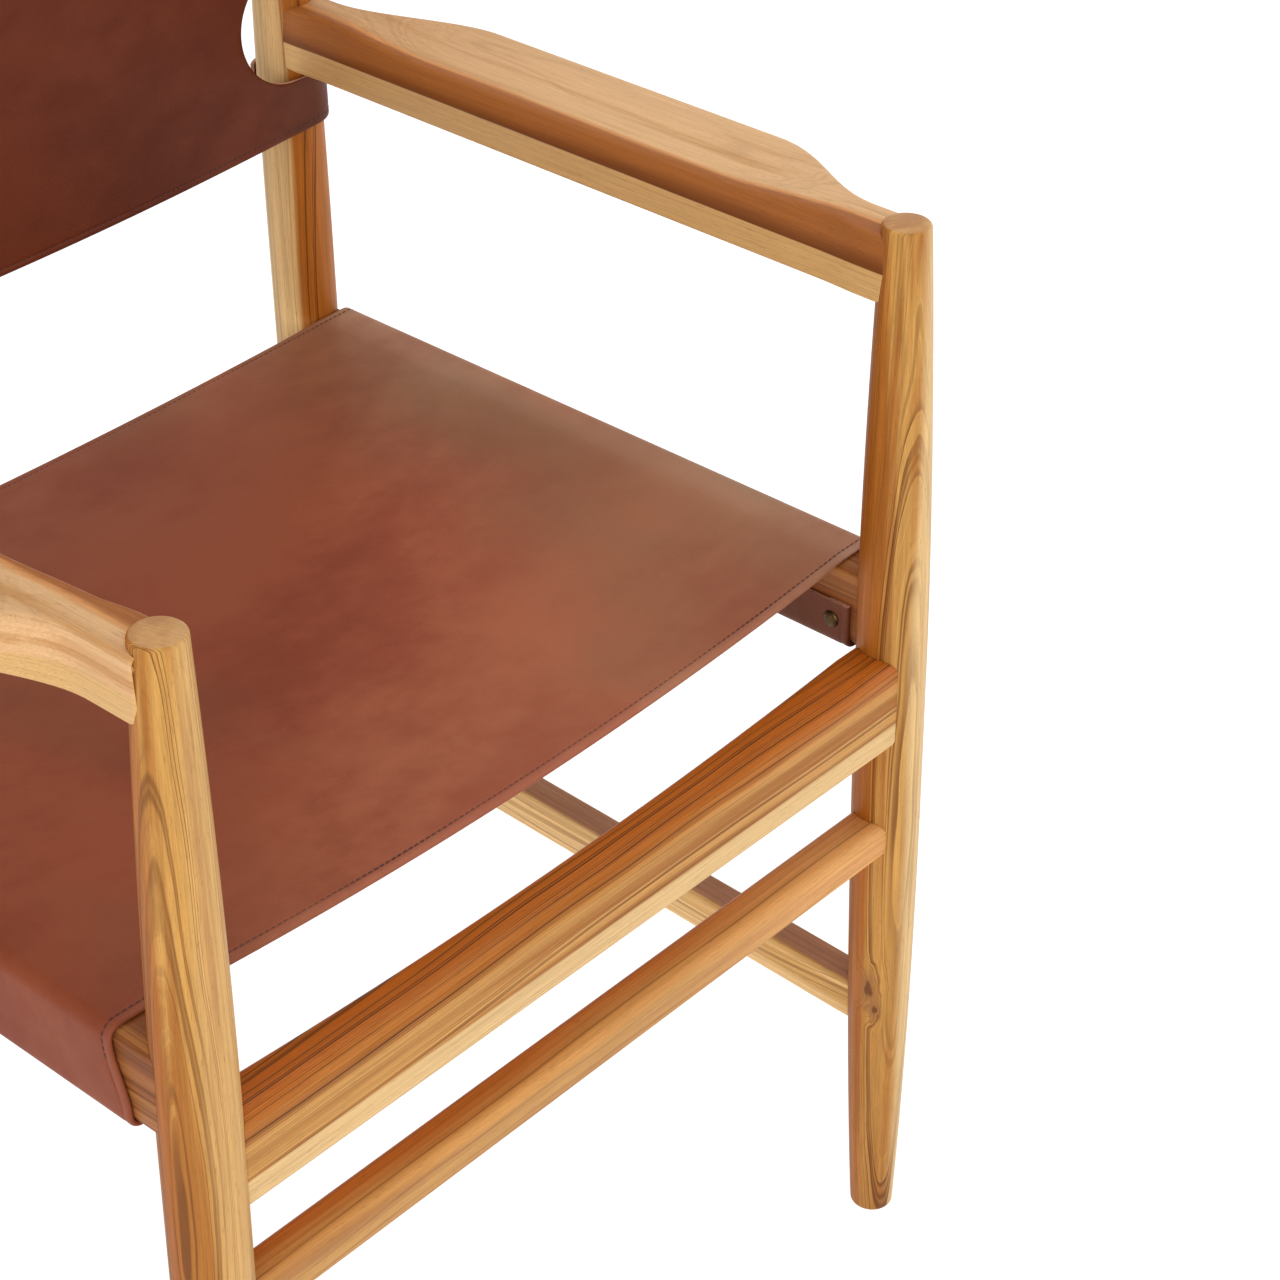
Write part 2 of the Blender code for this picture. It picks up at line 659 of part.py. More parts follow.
def build_back(leather):
    rings = []
    for level in range(BACK_LEVELS + 1):
        height = BACK_BOTTOM + (BACK_TOP - BACK_BOTTOM) * level / BACK_LEVELS
        outline = thicken(back_path(height), LEATHER)
        rings.append([(x, y, height - back_drop(x, y, height)) for x, y in outline])
    mesh = loft("back_sling", rings)
    smooth(mesh)
    back = add_piece("back_sling", mesh, leather)
    for side_name, side in SIDES.items():
        combine(back, add_tool("notch_" + side_name, notch_solid(side)), "DIFFERENCE")
    holes = [stud_hole(place) for side in SIDES.values() for place in back_stud_places(side)]
    combine(back, add_tool("back_sling_holes", joined("back_sling_holes", holes)), "DIFFERENCE")


def seat_stud_places(side):
    """Matrix of each seat stud: its z axis comes out of the leather, towards the middle."""
    frame = side_frame(side)
    lift = SIDE_RAIL_THICKNESS / 2 + 2 * FIT + LEATHER
    first = SEAT_FRONT + SEAT_STUD_INSET
    last = SEAT_BACK - SEAT_STUD_INSET
    inward = Matrix.Rotation(-side * pi / 2, 4, "Y")
    places = []
    for i in range(SEAT_STUDS):
        local_y = first + (last - first) * i / (SEAT_STUDS - 1)
        face = rail_offset(local_y) - lift
        spot = Matrix.Translation((side * face, local_y, SEAT_STUD_LEVEL - SEAT_LEVEL))
        places.append(frame @ spot @ inward)
    return places


def back_stud_places(side):
    """Matrix of each back stud: its z axis comes out of the leather behind the post."""
    backward = Matrix.Rotation(-pi / 2 - BACK_LEAN, 4, "X")
    heights = [BACK_BOTTOM + BACK_LOW_STUD_RISE] + [BACK_TOP - drop for drop in BACK_STUD_DROPS]
    places = []
    for height in heights:
        post = axis_point(side, True, height)
        face = leg_radius(height, True) + LEATHER + 2 * FIT
        places.append(Matrix.Translation((post.x, post.y + face / cos(BACK_LEAN), height)) @ backward)
    return places


def stud_mesh():
    """Domed head above z = 0 and a plain shank below it."""
    rings = [
        circle(STUD_SHANK_RADIUS, STUD_SIDES, -STUD_LENGTH),
        circle(STUD_SHANK_RADIUS, STUD_SIDES, 0),
        circle(STUD_HEAD_RADIUS, STUD_SIDES, 0),
        circle(STUD_HEAD_RADIUS, STUD_SIDES, STUD_RIM),
    ]
    dome = STUD_HEAD_HEIGHT - STUD_RIM
    for step in range(1, STUD_DOME_STEPS):
        turn = (pi / 2) * step / STUD_DOME_STEPS
        rings.append(circle(STUD_HEAD_RADIUS * cos(turn), STUD_SIDES, STUD_RIM + dome * sin(turn)))
    mesh = loft("stud", rings)
    smooth(mesh)
    return mesh


def stud_hole(place):
    """Clearance hole of one stud, long enough for the leather and the wood."""
    bottom = -STUD_LENGTH - FIT
    radius = STUD_SHANK_RADIUS + FIT
    return [[place @ Vector(point) for point in circle(radius, STUD_SIDES, z)] for z in (bottom, FIT)]


def build_studs(brass):
    mesh = stud_mesh()
    mesh.materials.append(brass)
    for side_name, side in SIDES.items():
        groups = {"seat_stud": seat_stud_places(side), "back_stud": back_stud_places(side)}
        for kind, places in groups.items():
            for i, place in enumerate(places, start=1):
                stud = bpy.data.objects.new(f"{kind}_{side_name}_{i}", mesh)
                bpy.context.scene.collection.objects.link(stud)
                stud.matrix_world = place


def main():
    clear_scene()
    wood = make_material("teak", (0.60, 0.33, 0.13), 0.45)
    leather = make_material("seat_leather", (0.33, 0.12, 0.07), 0.5)
    dark_leather = make_material("back_leather", (0.14, 0.045, 0.025), 0.5)
    brass = make_material("antique_brass", (0.25, 0.17, 0.07), 0.4, 1.0)
    clearances = build_legs(wood)
    for name, at_back in (("front", False), ("back", True)):
        build_cross_rail(name + "_rail", at_back, wood, clearances)
        build_cross_stretcher(name + "_stretcher", at_back, wood, clearances)
    for side_name, side in SIDES.items():
        empty = bpy.data.objects.new("side_frame_" + side_name, None)
        bpy.context.scene.collection.objects.link(empty)
        empty.matrix_world = side_frame(side)
        build_side_rail(side_name, wood, empty, clearances)
        build_side_stretcher(side_name, wood, empty, clearances)
        build_arm(side_name, wood, empty, clearances)
    build_seat(leather)
    build_back(dark_leather)
    build_studs(brass)


main()
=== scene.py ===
import random
from math import atan, cos, exp, pi, radians, sin, sqrt, tan

import bmesh
import bpy
from mathutils import Matrix, Vector, noise


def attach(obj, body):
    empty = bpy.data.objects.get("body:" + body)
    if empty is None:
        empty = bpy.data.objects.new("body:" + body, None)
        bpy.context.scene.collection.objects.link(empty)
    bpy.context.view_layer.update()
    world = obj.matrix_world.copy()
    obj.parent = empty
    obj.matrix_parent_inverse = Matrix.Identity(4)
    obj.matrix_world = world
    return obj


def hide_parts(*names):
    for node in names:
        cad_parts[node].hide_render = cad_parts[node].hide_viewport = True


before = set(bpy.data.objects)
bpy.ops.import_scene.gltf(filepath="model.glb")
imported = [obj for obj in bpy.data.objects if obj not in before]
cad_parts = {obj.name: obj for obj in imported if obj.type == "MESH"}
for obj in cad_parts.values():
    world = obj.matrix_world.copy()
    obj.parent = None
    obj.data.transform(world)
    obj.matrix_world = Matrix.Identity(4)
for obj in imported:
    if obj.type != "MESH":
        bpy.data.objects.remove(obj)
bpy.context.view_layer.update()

random.seed(7)

# Main sizes, in metres, the same as in the solids
LEG_SPACING, FRAME_DEPTH, SEAT_LEVEL = 0.492, 0.453, 0.450
SPLAY, TOE, FRONT_RAKE, BACK_LEAN = radians(1.15), radians(0.38), radians(0.4), radians(-0.4)
FIT = 0.0003
LEG_HEIGHT, POST_HEIGHT = 0.660, 0.800
BELLY, FOOT, LEG_TOP, POST_TOP = 0.0192, 0.0126, 0.0126, 0.0142
BELLY_LOW, LEG_BELLY_HIGH, POST_BELLY_HIGH = 0.340, 0.400, 0.500
END_ROUND, TOP_CROWN = 0.0022, 0.0008
RAIL_BOTTOM, RAIL_LOW_TOP, RAIL_SCOOP, RAIL_THICKNESS = 0.3520, 0.3998, 0.0105, 0.029
STRETCHER_BOTTOM, STRETCHER_HEIGHT, STRETCHER_THICKNESS = 0.2783, 0.0225, 0.024
SIDE_RAIL_TOP, SIDE_RAIL_HEIGHT, SIDE_RAIL_THICKNESS, SIDE_RAIL_ROUND = 0.4505, 0.0465, 0.028, 0.0045
SIDE_RAIL_FRONT_OFFSET, SIDE_RAIL_BACK_OFFSET = 0.0045, 0.0020
ARM_BOTTOM, ARM_RIDGE, ARM_TOP, ARM_END_TOP = 0.6163, 0.635, 0.6485, 0.6540
LEATHER = 0.003
SHEET = 0.0021               # one layer of leather, half of a folded hem
SEAM = 0.0047                # distance of the stitches from the edge
FLAP_TOP = 0.429
SEAT_FRONT = BELLY + 0.0008
SEAT_BACK = FRAME_DEPTH - (SEAT_LEVEL - SIDE_RAIL_TOP + SIDE_RAIL_HEIGHT + LEATHER) * tan(BACK_LEAN) - BELLY - 0.0008
BACK_BOTTOM, BACK_TOP, BACK_DIP, BACK_BOW, BACK_END = 0.580, 0.780, 0.0125, 0.004, radians(132)
NOTCH_RADIUS, NOTCH_CENTRE, NOTCH_BOTTOM = 0.0365, 0.2315, 0.612
STUD_HEAD, STUD_HEIGHT, STUD_RIM = 0.005, 0.002, 0.0006
BACK_REACH = (BACK_BOTTOM - SEAT_LEVEL) * tan(BACK_LEAN) + BELLY + LEATHER + STUD_HEIGHT
FRONT_Y = -(FRAME_DEPTH + BACK_REACH - BELLY) / 2
SIDES = {"right": 1, "left": -1}


def side_frame(side):
    place = Matrix.Translation((side * LEG_SPACING / 2, FRONT_Y, SEAT_LEVEL))
    return place @ Matrix.Rotation(-side * TOE, 4, "Z") @ Matrix.Rotation(-side * SPLAY, 4, "Y")


FRAMES = {side: side_frame(side) for side in (1, -1)}


def axis_point(side, at_back, height):
    local_z = (height - SEAT_LEVEL) / cos(SPLAY)
    local_y = FRAME_DEPTH + local_z * tan(BACK_LEAN) if at_back else local_z * tan(FRONT_RAKE)
    return FRAMES[side] @ Vector((0, local_y, local_z))


def leg_radius(height, at_back):
    if height < BELLY_LOW:
        share, thin, power = 1 - height / BELLY_LOW, FOOT, 2.3
    elif at_back:
        share, thin, power = (height - POST_BELLY_HIGH) / (POST_HEIGHT - POST_BELLY_HIGH), POST_TOP, 1.8
    else:
        share, thin, power = (height - LEG_BELLY_HIGH) / (LEG_HEIGHT - LEG_BELLY_HIGH), LEG_TOP, 1.8
    return BELLY - (BELLY - thin) * max(share, 0) ** power


def ease(share):
    share = min(max(share, 0), 1)
    return share * share * (3 - 2 * share)


# Mesh helpers: every ring is a list of (point, grain) pairs, grain being metres across, across and along

def loft(name, rings, material_of=None):
    mesh = bpy.data.meshes.new(name)
    shape = bmesh.new()
    grain = shape.verts.layers.float_vector.new("grain")
    loops = []
    for ring in rings:
        loop = []
        for point, coordinates in ring:
            vert = shape.verts.new(point)
            vert[grain] = coordinates
            loop.append(vert)
        loops.append(loop)
    count = len(loops[0])
    for j, (lower, upper) in enumerate(zip(loops, loops[1:])):
        for i in range(count):
            after = (i + 1) % count
            face = shape.faces.new((lower[i], lower[after], upper[after], upper[i]))
            if material_of:
                face.material_index = material_of(j, i)
    for cap in (list(reversed(loops[0])), loops[-1]):
        face = shape.faces.new(cap)
        if material_of:
            face.material_index = material_of(-1, -1)
    bmesh.ops.recalc_face_normals(shape, faces=shape.faces)
    shape.to_mesh(mesh)
    shape.free()
    mesh.shade_smooth()
    return mesh


def add(name, mesh, materials, replaced=(), sharp=radians(40)):
    for material in materials:
        mesh.materials.append(material)
    mesh.set_sharp_from_angle(angle=sharp)
    piece = bpy.data.objects.new(name, mesh)
    bpy.context.scene.collection.objects.link(piece)
    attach(piece, "root")
    if replaced:
        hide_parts(*replaced)
    return piece


def arc(centre, radius, start, end, steps):
    turns = [start + (end - start) * i / steps for i in range(steps + 1)]
    return [(centre[0] + radius * cos(t), centre[1] + radius * sin(t)) for t in turns]


def rounded_outline(corners, steps=6, side_steps=3):
    """Outline through rounded corners given as x, y, radius, with extra points on the sides."""
    rounds = []
    for i, (x, y, radius) in enumerate(corners):
        corner = Vector((x, y))
        before = (Vector(corners[i - 1][:2]) - corner).normalized()
        after = (Vector(corners[(i + 1) % len(corners)][:2]) - corner).normalized()
        half = before.angle(after) / 2
        setback = radius / tan(half)
        centre = corner + (before + after).normalized() * radius / sin(half)
        first = (corner + before * setback - centre).normalized()
        last = (corner + after * setback - centre).normalized()
        rounds.append([centre + first.slerp(last, k / steps) * radius for k in range(steps + 1)])
    outline = []
    for i, points in enumerate(rounds):
        outline += points
        start, end = points[-1], rounds[(i + 1) % len(rounds)][0]
        outline += [start.lerp(end, k / (side_steps + 1)) for k in range(1, side_steps + 1)]
    return [tuple(point) for point in outline]


def wobble(a, b, c, size):
    return size * noise.noise(Vector((a, b, c)))


# Node helpers

def node(tree, kind, inputs=None, **settings):
    made = tree.nodes.new(kind)
    for key, value in settings.items():
        setattr(made, key, value)
    for key, value in (inputs or {}).items():
        if isinstance(value, bpy.types.NodeSocket):
            tree.links.new(value, made.inputs[key])
        else:
            made.inputs[key].default_value = value
    return made


def maths(tree, operation, a, b=0.0, c=0.0):
    return node(tree, "ShaderNodeMath", {0: a, 1: b, 2: c}, operation=operation).outputs[0]


def smoothstep(tree, value, low, high, out_low=0.0, out_high=1.0):
    inputs = {"Value": value, "From Min": low, "From Max": high, "To Min": out_low, "To Max": out_high}
    made = node(tree, "ShaderNodeMapRange", inputs, interpolation_type="SMOOTHSTEP")
    return made.outputs["Result"]


def mixed(tree, factor, a, b, blend="MIX"):
    made = node(tree, "ShaderNodeMix", data_type="RGBA", blend_type=blend)
    for key, value in (("Factor_Float", factor), ("A_Color", a), ("B_Color", b)):
        socket = next(s for s in made.inputs if s.identifier == key)
        if isinstance(value, bpy.types.NodeSocket):
            tree.links.new(value, socket)
        else:
            socket.default_value = value
    return next(s for s in made.outputs if s.identifier == "Result_Color")


def stretched(tree, vector, scale, offset):
    made = node(tree, "ShaderNodeVectorMath", {0: vector, 1: scale, 2: offset}, operation="MULTIPLY_ADD")
    return made.outputs[0]


def noise_at(tree, vector, detail=2.0, roughness=0.5, colour=False):
    made = node(tree, "ShaderNodeTexNoise", {"Vector": vector, "Scale": 1.0, "Detail": detail, "Roughness": roughness})
    return made.outputs["Color" if colour else "Fac"]


def rgba(hex_code):
    """Linear colour of an sRGB hex code."""
    parts = [int(hex_code[i:i + 2], 16) / 255 for i in (0, 2, 4)]
    return tuple(p / 12.92 if p <= 0.04045 else ((p + 0.055) / 1.055) ** 2.4 for p in parts) + (1.0,)


def start_material(name):
    material = bpy.data.materials.new(name)
    material.use_nodes = True
    tree = material.node_tree
    return material, tree, tree.nodes["Principled BSDF"]


# The pale colour is sapwood; on the camera's right of the front legs and on the rails' lower band it is also painted
# light
SAPWOOD_AND_LIGHT, HEART = "E0BC84", "A85C16"


def scaled(tree, colour, factor):
    return node(tree, "ShaderNodeVectorMath", {0: colour, 3: factor}, operation="SCALE").outputs[0]


def beyond(tree, coordinates, direction, level, soft, blur=0.0):
    """0 on the near side of a plane, 1 on its far side; blur is a value that shifts the border."""
    away = node(tree, "ShaderNodeVectorMath", {0: coordinates, 1: direction}, operation="DOT_PRODUCT").outputs["Value"]
    return smoothstep(tree, maths(tree, "ADD", away, blur), level - soft, level + soft)


def bend(tree, grain, scale, shift, amount, push):
    """Push the grain coordinates aside by a smooth noise."""
    noise = noise_at(tree, stretched(tree, grain, scale, shift), 1.0, 0.4, colour=True)
    centred = node(tree, "ShaderNodeVectorMath", {0: noise, 1: (0.5, 0.5, 0.5)}, operation="SUBTRACT").outputs[0]
    return node(tree, "ShaderNodeVectorMath", {0: centred, 1: (amount,) * 3, 2: push}, operation="MULTIPLY_ADD").outputs[0]


def teak(name, seed, pith=(0.05, 0.07), spacing=0.0045, lines=0.85, warm=0.45, wander=0.012, zones=(), knots=(),
         end_grain=False, gold="CC9850", deep="A86A2A", fine=0.26, lean=0.0):
    """Oiled teak: growth rings round a far pith, broad tone streaks, fibre and pores.

    zones are (direction, level, softness, amount, colour): beyond that level the wood takes that colour. Some zones are
    painted light or shade on a face, as noted where they are listed.
    A zone with a sharp border keeps to its plane, as an edge of the piece does.
    knots are (place, size): a dark heart that the grain flows round.
    lean is the slope at which the rings run out of the side of the piece.
    """
    material, tree, shader = start_material(name)
    rng = random.Random(seed)
    shift = tuple(rng.uniform(-40, 40) for _ in range(3))
    back_shift = shift[::-1]
    grain = node(tree, "ShaderNodeAttribute", attribute_name="grain").outputs["Vector"]
    bent = bend(tree, grain, (12, 12, 2.6), shift, wander, grain)
    bent = bend(tree, grain, (36, 36, 7), back_shift, 0.0045, bent)
    bent = bend(tree, grain, (150, 150, 16), shift, 0.0009, bent)
    hearts = []
    for place, size in knots:
        gap = node(tree, "ShaderNodeVectorMath", {0: grain, 1: place}, operation="SUBTRACT").outputs[0]
        gap = node(tree, "ShaderNodeVectorMath", {0: gap, 1: (1 / size, 1 / size, 0.42 / size)}, operation="MULTIPLY").outputs[0]
        gap = bend(tree, grain, (260, 260, 150), shift, 1.1, gap)
        far = node(tree, "ShaderNodeVectorMath", {0: gap}, operation="LENGTH").outputs["Value"]
        hearts.append(far)
        swell = smoothstep(tree, far, 0.6, 3.2, size * 0.9, 0.0)
        bent = node(tree, "ShaderNodeVectorMath", {0: bent, 1: node(tree, "ShaderNodeCombineXYZ", {0: swell, 1: swell}).outputs[0]}, operation="ADD").outputs[0]
    parts = node(tree, "ShaderNodeSeparateXYZ", {0: bent}).outputs
    x, y = maths(tree, "SUBTRACT", parts[0], pith[0]), maths(tree, "SUBTRACT", parts[1], pith[1])
    y = maths(tree, "MULTIPLY_ADD", parts[2], lean, y)
    radius = maths(tree, "SQRT", maths(tree, "ADD", maths(tree, "MULTIPLY", x, x), maths(tree, "MULTIPLY", y, y)))

    # Growth rings: each with its own width, tone and strength, with a thin dark line at its outer side
    uneven = node(tree, "ShaderNodeTexNoise", {"W": maths(tree, "MULTIPLY_ADD", radius, 130.0, shift[0]), "Detail": 1.0}, noise_dimensions="1D")
    phase = maths(tree, "MULTIPLY_ADD", uneven.outputs["Fac"], 2.0, maths(tree, "DIVIDE", radius, spacing))
    share = maths(tree, "FRACT", phase)
    ring = node(tree, "ShaderNodeTexWhiteNoise", {"W": maths(tree, "FLOOR", phase)}, noise_dimensions="1D").outputs["Value"]
    along = noise_at(tree, stretched(tree, grain, (70, 70, 6.0), shift), 1.0, 0.5)
    strength = maths(tree, "MULTIPLY", smoothstep(tree, ring, 0.0, 0.7, 0.35, 1.0), smoothstep(tree, along, 0.32, 0.55, 0.4, 1.0))
    core = maths(tree, "MULTIPLY", smoothstep(tree, share, 0.62, 0.84), smoothstep(tree, share, 0.90, 0.99, 1.0, 0.0))
    shoulder = maths(tree, "MULTIPLY", smoothstep(tree, share, 0.1, 0.86), smoothstep(tree, share, 0.88, 0.99, 1.0, 0.0))
    part = maths(tree, "FRACT", maths(tree, "MULTIPLY", phase, 4.0))
    thin = maths(tree, "MULTIPLY", smoothstep(tree, part, 0.4, 0.9), smoothstep(tree, part, 0.92, 1.0, 1.0, 0.0))
    thin = maths(tree, "MULTIPLY", thin, smoothstep(tree, noise_at(tree, stretched(tree, grain, (120, 120, 7), back_shift), 1.0, 0.5), 0.4, 0.6))

    # Tone
    fibre = noise_at(tree, stretched(tree, grain, (1500, 1500, 26), shift), 3.0, 0.6)
    streak = noise_at(tree, stretched(tree, grain, (380, 380, 7), shift), 2.0, 0.55)
    broad = noise_at(tree, stretched(tree, grain, (90, 90, 2.6), shift), 3.0, 0.5)
    tone = maths(tree, "MULTIPLY_ADD", ring, 0.14, broad)
    middle = 0.57 + 0.35 * (0.5 - warm)
    colour = mixed(tree, smoothstep(tree, tone, middle - 0.12, middle + 0.12), rgba(gold), rgba(deep))
    blur = maths(tree, "MULTIPLY_ADD", streak, 0.004, -0.002)
    sheets = []
    for direction, level, soft, amount, tint in zones:
        sharp = soft < 0.0012
        edge = beyond(tree, grain if sharp else bent, direction, level, soft, 0.0 if sharp else blur)
        sheets.append((maths(tree, "MULTIPLY", edge, amount), tint))
    for factor, tint in sheets:
        if tint != SAPWOOD_AND_LIGHT:
            colour = mixed(tree, factor, colour, rgba(tint))
    colour = mixed(tree, maths(tree, "MULTIPLY", shoulder, maths(tree, "MULTIPLY", strength, 0.45 * lines)), colour, rgba("96561A"))
    colour = mixed(tree, maths(tree, "MULTIPLY", thin, fine * lines), colour, rgba("84501F"))
    for factor, tint in sheets:
        if tint == SAPWOOD_AND_LIGHT:
            colour = mixed(tree, factor, colour, rgba(tint))
            strength = maths(tree, "MULTIPLY", strength, maths(tree, "MULTIPLY_ADD", factor, -0.7, 1.0))
    colour = scaled(tree, colour, smoothstep(tree, streak, 0.25, 0.75, 1.0 + 0.46 * fine * lines, 1.0 - 0.58 * fine * lines))
    colour = scaled(tree, colour, smoothstep(tree, fibre, 0.25, 0.75, 1.09, 0.89))
    colour = mixed(tree, maths(tree, "MULTIPLY", core, maths(tree, "MULTIPLY", strength, lines)), colour, rgba("66360E"))
    pores = smoothstep(tree, noise_at(tree, stretched(tree, grain, (2600, 2600, 140), shift), 2.0, 0.5), 0.61, 0.72)
    colour = mixed(tree, maths(tree, "MULTIPLY", pores, 0.35), colour, rgba("5A3414"))
    for far in hearts:
        colour = mixed(tree, smoothstep(tree, far, 0.6, 2.4, 0.6, 0.0), colour, rgba("8A5634"))
        colour = mixed(tree, smoothstep(tree, far, 0.35, 0.8, 0.8, 0.0), colour, rgba("5E3216"))
    if end_grain:
        normal = node(tree, "ShaderNodeNewGeometry").outputs["Normal"]
        facing = node(tree, "ShaderNodeVectorMath", {0: normal, 1: (0, 0, 1)}, operation="DOT_PRODUCT").outputs["Value"]
        end = smoothstep(tree, maths(tree, "ABSOLUTE", facing), 0.75, 0.97, 0.0, 0.55)
        colour = mixed(tree, end, colour, rgba("C8986A"))
    tree.links.new(colour, shader.inputs["Base Color"])
    tree.links.new(smoothstep(tree, fibre, 0.2, 0.8, 0.36, 0.52), shader.inputs["Roughness"])
    shader.inputs["Specular IOR Level"].default_value = 0.15
    depth = maths(tree, "SUBTRACT", maths(tree, "MULTIPLY", fibre, 0.4), pores)
    bump = node(tree, "ShaderNodeBump", {"Height": depth, "Strength": 0.25, "Distance": 0.0003})
    tree.links.new(bump.outputs[0], shader.inputs["Normal"])
    return material


def leather(name, light, dark, seed, rough=(0.42, 0.50), mottle=0.7, stain=None, painted_light=()):
    """Dyed and waxed leather: slow mottling, fine creased grain and small pores.

    Painted light and shade, each as (coordinates, direction, level, softness, factors): beyond that level the colour is
    scaled by the factors.
    """
    material, tree, shader = start_material(name)
    rng = random.Random(seed)
    shift = tuple(rng.uniform(-30, 30) for _ in range(3))
    grain = node(tree, "ShaderNodeAttribute", attribute_name="grain").outputs["Vector"]
    slow = noise_at(tree, stretched(tree, grain, (6, 9, 6), shift), 3.0, 0.5)
    middle = noise_at(tree, stretched(tree, grain, (38, 52, 38), shift), 4.0, 0.6)
    blend = maths(tree, "MULTIPLY_ADD", middle, 0.35, maths(tree, "MULTIPLY", slow, 0.8))
    colour = mixed(tree, smoothstep(tree, blend, 0.42, 0.76, 0.0, mottle), rgba(light), rgba(dark))
    if stain:
        colour = mixed(tree, smoothstep(tree, noise_at(tree, stretched(tree, grain, (9, 5, 9), shift[::-1]), 2.0, 0.5), 0.5, 0.72, 0.0, 0.4), colour, rgba(stain))
    coordinates = {"place": node(tree, "ShaderNodeTexCoord").outputs["Object"], "grain": grain}
    # Painted light and shade: beyond each level the colour is scaled by the factors
    for source, direction, level, soft, factors in painted_light:
        blur = maths(tree, "MULTIPLY_ADD", middle, 1.2 * soft, -0.6 * soft)
        painted_light_colour = node(tree, "ShaderNodeVectorMath", {0: colour, 1: factors}, operation="MULTIPLY").outputs[0]
        colour = mixed(tree, beyond(tree, coordinates[source], direction, level, soft, blur), colour, painted_light_colour)
    cells = node(tree, "ShaderNodeTexVoronoi", {"Vector": stretched(tree, grain, (900, 900, 900), shift), "Scale": 1.0}, feature="DISTANCE_TO_EDGE")
    crease = smoothstep(tree, cells.outputs["Distance"], 0.0, 0.16, 1.0, 0.0)
    pores = smoothstep(tree, noise_at(tree, stretched(tree, grain, (1800, 1800, 1800), shift), 2.0, 0.5), 0.62, 0.75)
    # The grain's crease lines are darkened: painted shade in the creases
    colour = mixed(tree, maths(tree, "MULTIPLY", crease, 0.10), colour, rgba("2A0F08"))
    tree.links.new(colour, shader.inputs["Base Color"])
    gloss = smoothstep(tree, middle, 0.3, 0.7, rough[0], rough[1])
    tree.links.new(gloss, shader.inputs["Roughness"])
    shader.inputs["Specular IOR Level"].default_value = 0.13
    height = maths(tree, "MULTIPLY_ADD", crease, -0.5, maths(tree, "MULTIPLY", pores, -0.4))
    height = maths(tree, "MULTIPLY_ADD", middle, 2.2, height)
    bump = node(tree, "ShaderNodeBump", {"Height": height, "Strength": 0.22, "Distance": 0.00025})
    tree.links.new(bump.outputs[0], shader.inputs["Normal"])
    return material


def suede(name, light, dark):
    material, tree, shader = start_material(name)
    grain = node(tree, "ShaderNodeAttribute", attribute_name="grain").outputs["Vector"]
    nap = noise_at(tree, stretched(tree, grain, (700, 700, 700), (3, 5, 7)), 4.0, 0.7)
    tree.links.new(mixed(tree, smoothstep(tree, nap, 0.3, 0.7), rgba(light), rgba(dark)), shader.inputs["Base Color"])
    shader.inputs["Roughness"].default_value = 0.9
    bump = node(tree, "ShaderNodeBump", {"Height": nap, "Strength": 0.5, "Distance": 0.0004})
    tree.links.new(bump.outputs[0], shader.inputs["Normal"])
    return material


def thread_material():
    material, tree, shader = start_material("stitch_thread")
    place = node(tree, "ShaderNodeTexCoord").outputs["Object"]
    twist = noise_at(tree, stretched(tree, place, (2500, 2500, 2500), (1, 2, 3)), 2.0, 0.5)
    tree.links.new(mixed(tree, twist, rgba("2E1610"), rgba("54301F")), shader.inputs["Base Color"])
    shader.inputs["Roughness"].default_value = 0.6
    return material


def brass():
    material, tree, shader = start_material("antique_brass")
    place = node(tree, "ShaderNodeTexCoord").outputs["Object"]
    patina = noise_at(tree, stretched(tree, place, (700, 700, 700), (4, 1, 2)), 3.0, 0.6)
    factor = smoothstep(tree, patina, 0.4, 0.65)
    tree.links.new(mixed(tree, factor, rgba("5A452A"), rgba("46351F")), shader.inputs["Base Color"])
    tree.links.new(smoothstep(tree, patina, 0.3, 0.7, 0.28, 0.55), shader.inputs["Roughness"])
    shader.inputs["Metallic"].default_value = 1.0
    bump = node(tree, "ShaderNodeBump", {"Height": patina, "Strength": 0.35, "Distance": 0.0002})
    tree.links.new(bump.outputs[0], shader.inputs["Normal"])
    return material


# Turned legs and posts

def build_leg(side_name, at_back, material):
    side = SIDES[side_name]
    top = POST_HEIGHT if at_back else LEG_HEIGHT
    edge = top - END_ROUND - TOP_CROWN
    profile = [(0.0, 0.0006)]
    for k in range(7):
        turn = (pi / 2) * k / 6
        profile.append((END_ROUND * (1 - cos(turn)), leg_radius(0, at_back) - END_ROUND * (1 - sin(turn))))
    rings = 72
    profile += [(END_ROUND + (edge - END_ROUND) * k / rings,) * 1 + (leg_radius(END_ROUND + (edge - END_ROUND) * k / rings, at_back),)
                for k in range(1, rings + 1)]
    rim = leg_radius(edge, at_back)
    for k in range(1, 7):
        turn = (pi / 2) * k / 6
        profile.append((edge + END_ROUND * sin(turn), rim - END_ROUND * (1 - cos(turn))))
    for k in range(1, 5):
        share = 1 - k / 4.6
        profile.append((edge + END_ROUND + TOP_CROWN * (1 - share * share), (rim - END_ROUND) * share))
    rings = []
    for height, radius in profile:
        middle = axis_point(side, at_back, height)
        ring = []
        for k in range(72):
            turn = 2 * pi * k / 72
            across = Vector((radius * cos(turn), radius * sin(turn), 0))
            ring.append((middle + across, (across.x, across.y, height)))
        rings.append(ring)
    name = ("back_post_" if at_back else "front_leg_") + side_name
    add(name + "_wood", loft(name, rings), [material], [name], radians(60))


# Cross pieces, coped to the legs

def leg_face_x(at_back, y, z):
    axis = axis_point(1, at_back, z)
    radius = leg_radius(z, at_back)
    return axis.x - sqrt(max(radius ** 2 - (y - axis.y) ** 2, 0))


